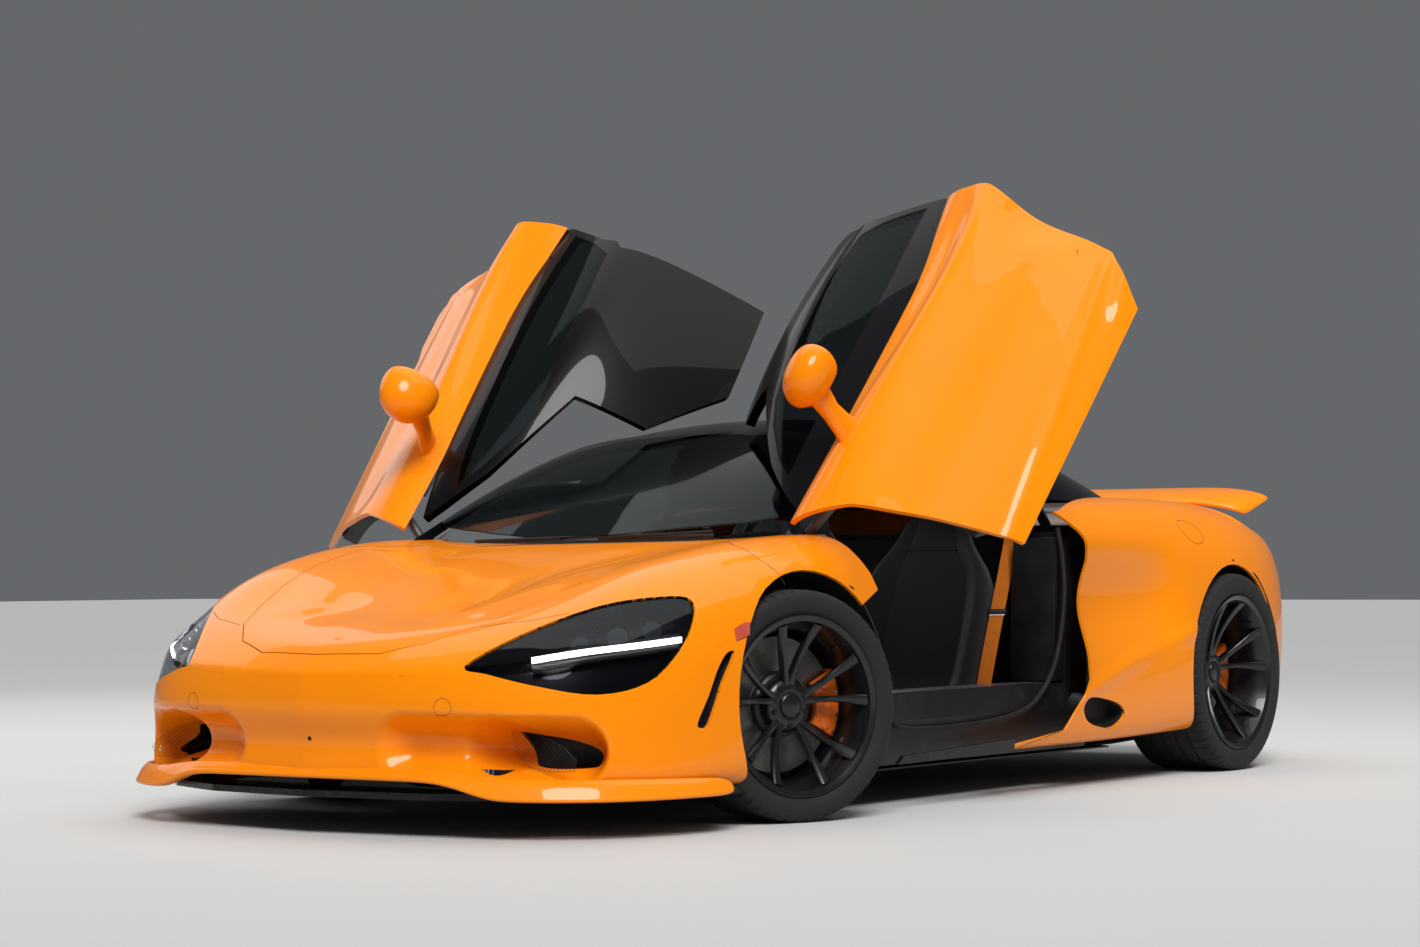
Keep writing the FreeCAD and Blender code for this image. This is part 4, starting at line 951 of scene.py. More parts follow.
# Steering, gaps between panels, and thickness of panels in metres
STEER_AT_REST = math.radians(-20)
KINGPIN_INSET = 78.0
DOOR_GAP = 8.0
LID_GAP = 3.0
PANEL_WALL = 0.008
LID_WALL = 0.012
DOOR_WALL = 0.014
FRAME_WALL = 0.03
GLASS_WALL = 0.005
BORDER_DEPTH = 0.0056
INNER_DEPTH = 0.028
INNER_WALL = 0.05

# Seat centres, from the middle of the car
SEAT_X = 345.0

# Lowest and highest y where an outline cuts the skin
NOSE = (-2400.0, -1000.0)
LAMP_SPAN = (-2400.0, -1630.0)
INTAKE_SPAN = (-2400.0, -1800.0)
LIP_SPAN = (-2400.0, -2000.0)
VENT_SPAN = (-1800.0, -1500.0)
MARKER_SPAN = (-1600.0, -1450.0)
DUCT_SPAN = (0.0, 700.0)

# Outlines of the panels
DOOR_SIDE = Outline(Axis.X, ((-912, 823), (-817, 658), (-679, 168), (235, 202), (375, 351), (447, 790), (446, 902),
                             (343, 1049), (301, 1189), (301, 1260), (-346, 1260), (-346, 1143)))
DOOR_PLAN = Outline(Axis.Z, ((1150, -1000), (792, -1000), (778, -850), (728, -780), (655, -660), (528, -336),
                             (285, -336), (84, -88), (86, 301), (600, 301), (690, 470), (1150, 470)))
DOOR_HOLE = [DOOR_SIDE.grown(DOOR_GAP), DOOR_PLAN.grown(DOOR_GAP)]
SKIN_SIDE = Outline(Axis.X, (*DOOR_SIDE.points[:6], (446, 960), (-880, 900)))
WINDOW = Outline(Axis.X, ((-800, 874), (-600, 975), (-420, 1045), (-300, 1068), (50, 1095), (262, 1085), (325, 1030),
                          (395, 935), (50, 912), (-350, 896)))
BONNET = Outline(Axis.Z, ((0, -2213), (210, -2195), (330, -2140), (420, -2040), (480, -1900), (530, -1750),
                          (580, -1550), (615, -1350), (630, -1180), (600, -1060), (450, -1040), (300, -1085),
                          (150, -1125), (0, -1140), (-300, -1500)))
WELL_MOUTH = Outline(Axis.Z, ((-392, -1940), (392, -1940), (392, -1150), (-392, -1150)))
UPPER = Outline(Axis.X, ((-2400, 420), (-900, 420), (-900, 1000), (-2400, 1000)))
LAMP = Outline(Axis.Y, ((489, 450), (568, 529), (691, 604), (789, 628), (837, 620), (868, 564), (879, 486),
                        (858, 405), (791, 376), (676, 398), (553, 430)))
FRONT_ARCH = arch(-1189.5, 322, 376)
REAR_ARCH = arch(1480.5, 340, 372)
WING_BACK = Outline(Axis.X, ((-905, 900), (-830, 640), (-934, 599), (-934, 60), (-300, 60), (-300, 1000), (-905, 1000)))
REAR_FRONT = Outline(Axis.X, ((-900, 60), (-62, 60), (-62, 152), (240, 190), (388, 345), (470, 720), (456, 915),
                              (456, 1000), (-900, 1000)))
HOOP_SIDE = Outline(Axis.X, ((-1000, 770), (470, 770), (470, 1300), (-1000, 1300)))
DECK = Outline(Axis.Z, ((-20, 470), (560, 470), (560, 1250), (430, 1700), (-20, 1700)))
SCREEN_SIDE = Outline(Axis.X, ((-1400, 500), (-990, 790), (-398, 1120), (-398, 1300), (-1400, 1300)))
REAR_SIDE = Outline(Axis.X, ((370, 1230), (400, 925), (1700, 925), (1700, 1230)))
COWL = Outline(Axis.Z, ((-300, -1500), (0, -1110), (150, -1095), (300, -1060), (450, -1010), (560, -960), (640, -880),
                        (700, -760), (740, -500), (790, 0), (790, 500), (560, 1250), (0, 1250)))
CORNER_INTAKE = Outline(Axis.Y, ((552, 272), (600, 270), (664, 256), (716, 232), (752, 204), (744, 184), (664, 180),
                                 (602, 192), (566, 226)))
LIP_SLOT = Outline(Axis.Y, ((-20, 60), (590, 60), (566, 117), (440, 160), (380, 168), (-20, 170)))
SLOT_VENT = Outline(Axis.X, ((-1570, 476), (-1602, 474), (-1643, 430), (-1682, 365), (-1728, 294), (-1714, 280),
                             (-1690, 288), (-1658, 340), (-1624, 402))).rounded(4)
MARKER = Outline(Axis.X, ((-1556, 508), (-1553, 541), (-1509, 556), (-1487, 558), (-1500, 522)))
SIDE_DUCT = Outline(Axis.X, ((345, 262), (352, 236), (380, 212), (450, 194), (552, 186), (619, 222), (590, 258),
                             (480, 282), (375, 288)))
DOOR_EDGE = Outline(Axis.Z, ((1150, -1000), (800, -1000), (790, -650), (785, 0), (775, 300), (760, 470), (1150, 470)))
LAMP_BAR = ((640, -2092, 464), (700, -2040, 478), (765, -1967, 490), (836, -1843, 506), (872, -1740, 517))


@dataclass(frozen=True)
class Lattice:
    """A woven mesh of thin bars behind an opening."""

    pitch: float
    bar: float

    def sheet(self, outline: Outline, depth: float) -> BMesh:
        """A flat mesh inside an outline.

        Args:
            outline: Its edge.
            depth: Its place along the outline's axis, in millimetres.

        Returns:
            The bars.
        """
        i, j = outline.axis.value
        k = 3 - i - j
        low_a, high_a = min(p[0] for p in outline.points), max(p[0] for p in outline.points)
        low_b, high_b = min(p[1] for p in outline.points), max(p[1] for p in outline.points)
        reach = max(high_a - low_a, high_b - low_b) * 0.72
        steps = max(2, round(2 * reach / self.pitch))
        bm = bmesh.new()
        turn = Matrix.Rotation(math.radians(45), 4, "Z")
        bmesh.ops.create_grid(bm, x_segments=steps, y_segments=steps, size=reach * MM, matrix=turn)
        for vert in bm.verts:
            a, b = vert.co.x + (low_a + high_a) / 2 * MM, vert.co.y + (low_b + high_b) / 2 * MM
            vert.co[i], vert.co[j], vert.co[k] = a, b, depth * MM
        trim(bm, [outline], True)
        bmesh.ops.wireframe(bm, faces=bm.faces[:], thickness=self.bar * MM, use_replace=True, use_boundary=True,
                            use_even_offset=False)
        return bm


# Hollows and ridges that are pressed into the body's net
PRESSES = (
    Press(((0, -2262, 245), (320, -2246, 245), (560, -2186, 245)), 95, 20),
    Press(((330, -2240, 238), (500, -2204, 236), (640, -2152, 230), (740, -2092, 222)), 104, 62),
    Press(((560, -2120, 232), (650, -2080, 230), (722, -2040, 224)), 110, 120, 0.8, (0.0, 1.0, 0.0)),
    Press(((330, -1900, 596), (400, -1750, 648), (460, -1550, 702), (540, -1320, 748)), 120, -5),
    Press(((160, -1900, 590), (210, -1750, 640), (290, -1500, 690), (360, -1280, 745)), 160, 5),
    Press(((905, -700, 560), (925, -200, 600), (930, 200, 620), (925, 300, 640)), 150, 10),
    Press(((905, -780, 740), (905, -300, 762), (925, 100, 790), (935, 450, 800)), 60, -5, 1.3),
    Press(((936, -673, 217), (948, -100, 290), (957, 375, 356)), 45, -5, 1.4),
    Press(((925, 480, 600), (935, 700, 600), (945, 900, 600)), 240, 44),
    Press(((955, 185, 249), (962, 420, 320), (965, 700, 400), (965, 1125, 488)), 60, -9, 1.5),
    Press(((660, 1980, 900), (610, 2270, 878)), 170, 26),
    Press(((880, -980, 720), (890, -1190, 735), (875, -1330, 715)), 120, -10),
)

# The lip under the nose, from the middle to the wheel: x and y on the body, its flare, its lower and upper heights
LIP = ((0, -2250, 26, 150, 176), (330, -2233, 26, 150, 176), (430, -2216, 27, 147, 173), (500, -2198, 28, 128, 166),
       (566, -2180, 30, 106, 158), (620, -2160, 31, 101, 152), (720, -2108, 32, 100, 150), (815, -2030, 32, 100, 150),
       (868, -1945, 30, 100, 148), (905, -1850, 27, 100, 146), (932, -1730, 22, 100, 142), (950, -1610, 12, 101, 138))


class Shell:
    """The painted body: front and rear clamshells, bonnet, skirts and the two doors' skins."""

    def __init__(self) -> None:
        """Makes the smooth skins that every panel is cut from."""
        self.hull = net_mesh(HULL, NOSE_CREASE)
        self.canopy = net_mesh(CANOPY, {})
        for skin in (self.hull, self.canopy):
            if sum(f.normal.z for f in skin.faces) < 0:
                bmesh.ops.reverse_faces(skin, faces=skin.faces)
            skin.normal_update()
        self.refine(-2.4, -1.55, 0.62)
        for press in PRESSES:
            press.shape(self.hull)
        bmesh.ops.delete(self.hull, geom=[v for v in self.hull.verts if not v.link_faces], context="VERTS")
        self.hull.normal_update()
        self.tree = BVHTree.FromBMesh(self.hull)

    def refine(self, start: float, stop: float, height: float) -> None:
        """Divides the faces of one part of the hull once more.

        Args:
            start: Lowest y in metres.
            stop: Highest y.
            height: Highest z.
        """
        low = [f for f in self.hull.faces if start < f.calc_center_median().y < stop
               and f.calc_center_median().z < height]
        edges = list({e for f in low for e in f.edges})
        bmesh.ops.subdivide_edges(self.hull, edges=edges, cuts=1, use_grid_fill=True, smooth=0.0)
        self.hull.normal_update()

    def on_skin(self, place: Triple, lift: float = 0.0) -> tuple[Vector, Vector]:
        """The nearest place on the left half of the hull, in millimetres, and the way out of it.

        Args:
            place: Where to look, in millimetres.
            lift: Millimetres out of the skin.

        Returns:
            The place and the normal.
        """
        side = -1.0 if place[0] < 0 else 1.0
        spot, normal, _, _ = self.tree.find_nearest(Vector((abs(place[0]), place[1], place[2])) * MM)
        out = normal if normal.dot(Vector((0.3, 0.1 * (1 if spot.y > 0 else -1), 0.6))) > -0.2 else -normal
        spot = spot / MM + out * lift
        return Vector((spot.x * side, spot.y, spot.z)), Vector((out.x * side, out.y, out.z))

    def seam(self, name: str, places: list[Triple], radius: float = 1.3,
             closed: bool = False) -> None:
        """A thin dark line on both sides of the car where two panels meet.

        Args:
            name: The piece's name.
            places: Points near the skin, in millimetres.
            radius: Millimetres.
            closed: Joins its ends.
        """
        line = []
        ends = places[1:] + places[:1] if closed else places[1:]
        for a, b in zip(places, ends):
            steps = max(1, round((Vector(b) - Vector(a)).length / 25.0))
            line += [self.on_skin(Vector(a).lerp(Vector(b), k / steps), -radius * 0.3)[0] for k in range(steps)]
        if not closed:
            line.append(self.on_skin(places[-1], -radius * 0.3)[0])
        bm = mirror_pair(tube(line, radius, smooth=False, sides=1, closed=closed))
        Piece(name, Finishes.SEAL, slot="gloss_black").make(bm)

    def stud(self, name: str, places: list[Triple], radius: float, finish: Finish) -> None:
        """Small round pieces set in the skin, 5 mm long and 1 mm proud of it.

        Args:
            name: The piece's name.
            places: Points near the skin, in millimetres.
            radius: Millimetres.
            finish: Its finish.
        """
        shapes = []
        for place in places:
            spot, out = self.on_skin(place, -1.5)
            turn = out.to_track_quat("Z", "Y").to_matrix().to_4x4()
            shapes.append(cone(radius, radius * 0.86, 5.0, 28, Matrix.Translation(spot * MM) @ turn))
        Piece(name, finish, sharp=50).make(joined(shapes))

    def recess(self, name: str, opening: Outline, depth: float, finish: Finish, within: Pair,
               replaces: tuple[str, ...] = ()) -> None:
        """A walled hollow under an opening on both sides.

        Args:
            name: The piece's name.
            opening: Its edge.
            depth: Millimetres.
            finish: Its finish.
            within: Lowest and highest y of the place, in millimetres.
            replaces: Nodes that it stands for.
        """
        patch = trim(self.hull.copy(), [opening], True, within)
        Piece(name, finish, replaces, sharp=30).make(both(bowl(patch, depth)))

    def lens(self, name: str, edge: Outline, lift: float, finish: Finish, within: Pair) -> None:
        """A thin cover on both sides that follows the skin.

        Args:
            name: The piece's name.
            edge: Its outline.
            lift: Millimetres out of the skin.
            finish: Its finish.
            within: Lowest and highest y of the place, in millimetres.
        """
        bm = lifted(trim(self.hull.copy(), [edge], True, within), lift * MM)
        Piece(name, finish, wall=0.003).make(both(bm))

    def panels(self) -> None:
        """Cuts the fixed panels and the lid."""
        front = trim(self.hull.copy(), [stretch(-2400, -300)], True)
        for zone, within in (([BONNET.grown(LID_GAP), UPPER], NOSE), ([LAMP.rounded(4)], LAMP_SPAN),
                             ([CORNER_INTAKE.rounded(4)], INTAKE_SPAN), ([LIP_SLOT], LIP_SPAN),
                             ([SLOT_VENT], VENT_SPAN)):
            trim(front, zone, False, within)
        for zone in ([FRONT_ARCH], [WING_BACK], [COWL], DOOR_HOLE):
            trim(front, zone)
        Piece("front_clam_skin", Finishes.ORANGE, ("front_clamshell",), wall=PANEL_WALL).make(both(front))
        lid = trim(self.hull.copy(), [BONNET, UPPER], True, NOSE)
        Piece("bonnet_skin", Finishes.ORANGE, ("bonnet",), body=Body.BONNET.value, wall=LID_WALL).make(both(lid))
        rear = trim(self.hull.copy(), [stretch(-350, 2300)], True)
        for zone in ([REAR_ARCH], [REAR_FRONT], [COWL], DOOR_HOLE, [DECK]):
            trim(rear, zone)
        trim(rear, [SIDE_DUCT.rounded(4)], False, DUCT_SPAN)
        Piece("rear_clam_skin", Finishes.ORANGE, ("rear_clamshell",), wall=PANEL_WALL).make(both(rear))

    def luggage_trim(self) -> None:
        """Lines the space between the lid's opening and the rim of the luggage well."""
        drop, rim_height = 26.0, 542.0
        bm = trim(self.hull.copy(), [BONNET.grown(20), UPPER], True, NOSE)
        trim(bm, [WELL_MOUTH], False, NOSE)
        bmesh.ops.translate(bm, verts=bm.verts, vec=(0.0, 0.0, -drop * MM))
        (_, front), (side, back) = WELL_MOUTH.metres()[0], WELL_MOUTH.metres()[2]
        near = 1e-4
        rim = [e for e in bm.edges if e.is_boundary and (
            all(abs(v.co.x - side) < near and front - near < v.co.y < back + near for v in e.verts)
            or any(all(abs(v.co.y - end) < near and v.co.x < side + near for v in e.verts) for end in (front, back)))]
        walls = bmesh.ops.extrude_edge_only(bm, edges=rim)["geom"]
        for vert in (g for g in walls if isinstance(g, bmesh.types.BMVert)):
            vert.co.z = rim_height * MM
        Piece("luggage_trim", Finishes.TRIM, wall=0.003).make(both(bm))

    def openings(self) -> None:
        """Walls in the intakes and vents, and sets the lenses, studs and seams."""
        self.recess("corner_intake", CORNER_INTAKE.rounded(4), 70, Finishes.TRIM, INTAKE_SPAN)
        self.recess("lip_intake", LIP_SLOT, 60, Finishes.BLACK, LIP_SPAN)
        self.recess("slot_vent", SLOT_VENT, 34, Finishes.TRIM, VENT_SPAN)
        self.recess("side_duct", SIDE_DUCT.rounded(4), 60, Finishes.TRIM, DUCT_SPAN)
        self.lens("side_marker", MARKER, 1.2, Finishes.AMBER, MARKER_SPAN)
        self.seam("marker_edge", [(930, y, z) for y, z in MARKER.points], 1.0, closed=True)
        self.seam("fender_seam", [(560, -1085, 790), (640, -1230, 790), (748, -1313, 767), (841, -1328, 719),
                                  (884, -1300, 683), (902, -1295, 655)])
        self.seam("nose_seam", [(430, -2045, 548), (560, -1990, 560), (640, -1930, 585)], 1.0)
        self.seam("sill_seam", [(880, -62, 148), (930, 40, 160), (950, 235, 195)], 1.0)
        self.seam("fuel_cap", [(895 + 48 * math.cos(a) * 0.4, 1240 + 72 * math.cos(a), 828 + 58 * math.sin(a))
                               for a in around(28)], 1.1, closed=True)
        self.seam("tow_cover", [(444 + 26 * math.cos(a), -2220, 342 + 26 * math.sin(a)) for a in around(20)], 0.8,
                  closed=True)
        self.stud("park_sensors", [(316, -2225, 430), (-316, -2225, 430), (789, -2014, 349), (-789, -2014, 349)], 11,
                  Finishes.ORANGE)
        self.stud("nose_camera", [(11, -2267, 250)], 7, Finishes.BLACK)
        self.lip()
        self.luggage_trim()
        for name, opening, depth in (("intake_mesh", CORNER_INTAKE.grown(6), -2055),
                                     ("duct_mesh", SIDE_DUCT.grown(4), 915)):
            Piece(name, Finishes.TRIM).make(mirror_pair(Lattice(9.0, 1.1).sheet(opening, depth)))

    def lip(self) -> None:
        """Flares the lip out under the nose, in one piece from wheel to wheel."""
        rows = []
        count = len(LIP)
        for i, (x, y, flare, low, high) in enumerate(LIP):
            before, after = LIP[max(i - 1, 0)], LIP[min(i + 1, count - 1)]
            run = Vector((after[0] - before[0], after[1] - before[1])).normalized()
            out = Vector((0.0, -1.0)) if i == 0 else Vector((run.y, -run.x))
            section = ((-12, high + 16), (2, high + 3), (flare * 0.45, high - 7), (flare * 0.85, low + 16),
                       (flare, low + 9), (flare, low + 4), (flare - 4, low), (flare * 0.3, low - 0.5), (-14, low))
            rows.append([Vector((x + out.x * a, y + out.y * a, z)) * MM for a, z in section])
        half = rows[1:]
        left = [[Vector((-v.x, v.y, v.z)) for v in row] for row in reversed(half)]
        Piece("nose_lip", Finishes.ORANGE, levels=2, sharp=50).make(loft(left + [rows[0]] + half))

    def lamps(self) -> None:
        """Fills both headlamps: black bowl, day light bar, two lens pods and the clear cover."""
        self.recess("lamp_bowl", LAMP.rounded(4), 58, Finishes.BLACK, LAMP_SPAN, ("headlamps",))
        self.lens("lamp_cover", LAMP.grown(-2).rounded(4), -3, Finishes.LAMP_GLASS, LAMP_SPAN)
        line = [self.on_skin(p, -9)[0] for p in LAMP_BAR]
        bars = [tube([(x, y, z + rise) for x, y, z in line], 4.2) for rise in (-4, 0, 4)]
        shelf = [self.on_skin(p, -24)[0] for p in LAMP_BAR]
        pods = [tube([(x, y, z - 13) for x, y, z in shelf], 10), tube([(x, y, z + 15) for x, y, z in shelf[1:]], 8)]
        rings, lenses = [], []
        for place, radius in (((720, -1985, 535), 24), ((790, -1900, 562), 27), ((846, -1800, 575), 25)):
            spot = self.on_skin(place, -34)[0]
            aim = Vector((0.35, -1.0, 0.1)).to_track_quat("Z", "Y").to_matrix().to_4x4()
            turn = Matrix.Translation(spot * MM) @ aim
            pods.append(cone(radius * 0.8, radius * 1.12, 24, 40, turn))
            rings.append(cone(radius, radius * 0.96, 2, 40, turn @ Matrix.Translation((0, 0, 0.0128))))
            lens = bmesh.new()
            bmesh.ops.create_uvsphere(lens, u_segments=32, v_segments=16, radius=radius * 0.86 * MM,
                                      matrix=Matrix.Translation((0, 0, 0.008)) @ Matrix.Diagonal((1, 1, 0.55, 1)))
            lenses.append(moved(lens, turn))
        Piece("day_light_bar", Finishes.WHITE_LIGHT).make(mirror_pair(joined(bars)))
        Piece("lamp_pods", Finishes.TRIM).make(mirror_pair(joined(pods)))
        Piece("lamp_rings", Finishes.CHROME, slot="alloy").make(mirror_pair(joined(rings)))
        Piece("lamp_lenses", Finishes.LAMP_GLASS).make(mirror_pair(joined(lenses)))

    def glasshouse(self) -> None:
        """Cuts the windscreen, the rear screen and the black frame between them."""
        screen = trim(self.canopy.copy(), [SCREEN_SIDE, COWL.grown(14)], True)
        clear = Outline(Axis.Y, ((-20, 400), (560, 700), (575, 860), (530, 960), (470, 1060), (-20, 1096)))
        band = lifted(trim(screen.copy(), [clear]), -BORDER_DEPTH)
        Piece("windscreen_glass", Finishes.GLASS, ("windscreen",), wall=GLASS_WALL).make(both(screen))
        Piece("screen_border", Finishes.BLACK, wall=0.0015).make(both(band))
        rear = trim(trim(self.canopy.copy(), [REAR_SIDE], True), DOOR_HOLE)
        Piece("rear_screen_glass", Finishes.DARK_GLASS, ("rear_screen",), wall=GLASS_WALL).make(both(rear))
        hoop = trim(trim(self.canopy.copy(), [SCREEN_SIDE]), [REAR_SIDE])
        trim(trim(hoop, [HOOP_SIDE], True), DOOR_HOLE)
        Piece("roof_hoop", Finishes.BLACK, ("roof_frame",), wall=FRAME_WALL).make(both(hoop))
        arms = [tube([(-330, -1118, 790), (-60, -1128, 796), (260, -1090, 800), (470, -1015, 812)], 5),
                tube([(470, -1010, 800), (360, -1060, 800), (120, -1100, 792)], 7),
                tube([(-330, -1112, 786), (-120, -1112, 792), (180, -1080, 798), (400, -1010, 812)], 3)]
        Piece("wiper", Finishes.TRIM).make(joined(arms))
        cover = trim(self.hull.copy(), [DECK.grown(-4)], True)
        cover.normal_update()
        Piece("engine_lid", Finishes.BLACK, ("engine_cover",), wall=LID_WALL).make(both(trim(cover, [COWL])))

    def doors(self) -> None:
        """Cuts both doors shut and turns them open."""
        low_frame = SKIN_SIDE.grown(-66).rounded(5)
        light = [WINDOW, DOOR_PLAN.grown(-30)]
        for side, suffix in SIDES:
            turn = door_turn(side)
            body = "door_" + suffix
            skin = trim(trim(self.hull.copy(), [SKIN_SIDE, DOOR_PLAN], True), [DOOR_EDGE], True)
            Piece("door_skin_smooth_" + suffix, Finishes.ORANGE, ("door_skin_" + suffix,), body=body,
                  wall=DOOR_WALL).make(skin, turn)
            glass = trim(self.canopy.copy(), light, True)
            Piece("door_window_" + suffix, Finishes.GLASS, ("door_glass_" + suffix,), body=body,
                  wall=GLASS_WALL).make(glass, turn)
            upper = trim(self.canopy.copy(), [DOOR_SIDE, DOOR_PLAN], True)
            trim(upper, light)
            trim(upper, [Outline(Axis.X, ((-1000, 0), (500, 0), (500, 845), (-350, 812), (-1000, 790)))])
            Piece("door_surround_" + suffix, Finishes.BLACK, ("door_frame_" + suffix,), body=body,
                  wall=FRAME_WALL).make(upper, turn)
            inner = trim(self.hull.copy(), [low_frame], True)
            trim(inner, [stretch(-1000, -700)])
            lifted(trim(inner, [DOOR_EDGE, DOOR_PLAN.grown(-40)], True), -INNER_DEPTH)
            Piece("door_inner_" + suffix, Finishes.TRIM, body=body, wall=INNER_WALL).make(inner, turn)
            self.door_details(body, suffix, turn)

    def door_details(self, body: str, suffix: str, turn: Matrix) -> None:
        """The card, pull, seal, hinge arm and mirror of one door.

        Args:
            body: The door's body.
            suffix: left or right.
            turn: The move from shut on the left to open.
        """
        card = plate(Outline(Axis.X, ((-560, 300), (180, 320), (250, 420), (300, 640), (-200, 660), (-600, 640),
                                      (-640, 480))).rounded(4), 872, 858)
        Piece("door_card_" + suffix, Finishes.LEATHER, body=body, bevel=0.004).make(card, turn)
        rest = [plate(Outline(Axis.X, ((-420, 470), (120, 500), (150, 530), (120, 556), (-380, 540), (-440, 510))),
                      862, 826), tube([(860, -360, 590), (838, -330, 610), (838, -100, 622), (860, -70, 606)], 9)]
        Piece("door_rest_" + suffix, Finishes.SUEDE, body=body, bevel=0.008).make(joined(rest), turn)
        corners = SKIN_SIDE.grown(-50).points[1:5]
        edge = []
        for (y1, z1), (y2, z2) in zip(corners, corners[1:]):
            edge += [self.on_skin((930, y1 + (y2 - y1) * k / 8, z1 + (z2 - z1) * k / 8), -30)[0] for k in range(8)]
        Piece("door_seal_" + suffix, Finishes.SEAL, body=body).make(tube(edge[1:], 7), turn)
        arm = [tube([HINGE_POINT, (770, -830, 730), (858, -735, 690)], 15),
               tube([HINGE_POINT - HINGE_AXIS * 20, HINGE_POINT + HINGE_AXIS * 20], 24, smooth=False, sides=6)]
        Piece("door_hinge_" + suffix, Finishes.CAST, body=body).make(joined(arm), turn)
        centre = Vector((990, -543, 940))
        head = loft([[(centre + Vector((wide * math.cos(a), back, rise + high * math.sin(a)))) * MM for a in around(28)]
                     for back, wide, high, rise in ((-96, 8, 5, -2), (-93, 26, 18, -2), (-82, 52, 38, -1),
                                                    (-60, 74, 56, 0), (-30, 89, 66, 1), (4, 95, 70, 1), (34, 94, 69, 1),
                                                    (50, 90, 66, 0), (54, 86, 62, 0), (50, 82, 58, 0))])
        stalk = loft([[(Vector(spot) + Vector((thick * math.cos(a) * lean, wide * math.sin(a), -thick * math.cos(a))))
                       * MM for a in around(16)]
                      for spot, wide, thick, lean in (((842, -556, 772), 52, 20, 0.6), ((862, -556, 800), 42, 17, 0.8),
                                                      ((892, -552, 846), 34, 16, 0.95),
                                                      ((940, -546, 900), 44, 20, 0.95))])
        Piece("mirror_head_" + suffix, Finishes.ORANGE, ("door_mirror_" + suffix,), body=body,
              sharp=60).make(joined([head, stalk]), turn)
        pane = loft([[(centre + Vector((79 * math.cos(a), back, 79 * 0.71 * math.sin(a)))) * MM for a in around(28)]
                     for back in (50.3, 51.2)])
        Piece("mirror_pane_" + suffix, Finishes.CHROME, body=body, slot="glass").make(pane, turn)


@dataclass(frozen=True)
class WheelSizes:
    """The sizes of one axle's wheels in millimetres."""

    front: bool
    axle: float
    track: float
    radius: float
    width: float
    rim: float

    def places(self) -> list[tuple[str, str, Matrix]]:
        """Suffix, hub carrier's body and matrix of both wheels, their outer faces away from the middle."""
        rows = []
        for side, suffix in SIDES:
            at = Matrix.Translation(Vector((side * self.track / 2, self.axle, self.radius)) * MM)
            if self.front:
                pivot = Matrix.Translation(Vector(((self.track / 2 - KINGPIN_INSET) * side, self.axle, 0)) * MM)
                at = pivot @ Matrix.Rotation(STEER_AT_REST, 4, "Z") @ pivot.inverted() @ at
            rows.append((suffix, "knuckle_" + suffix if self.front else Body.CAR.value, at))
        return rows


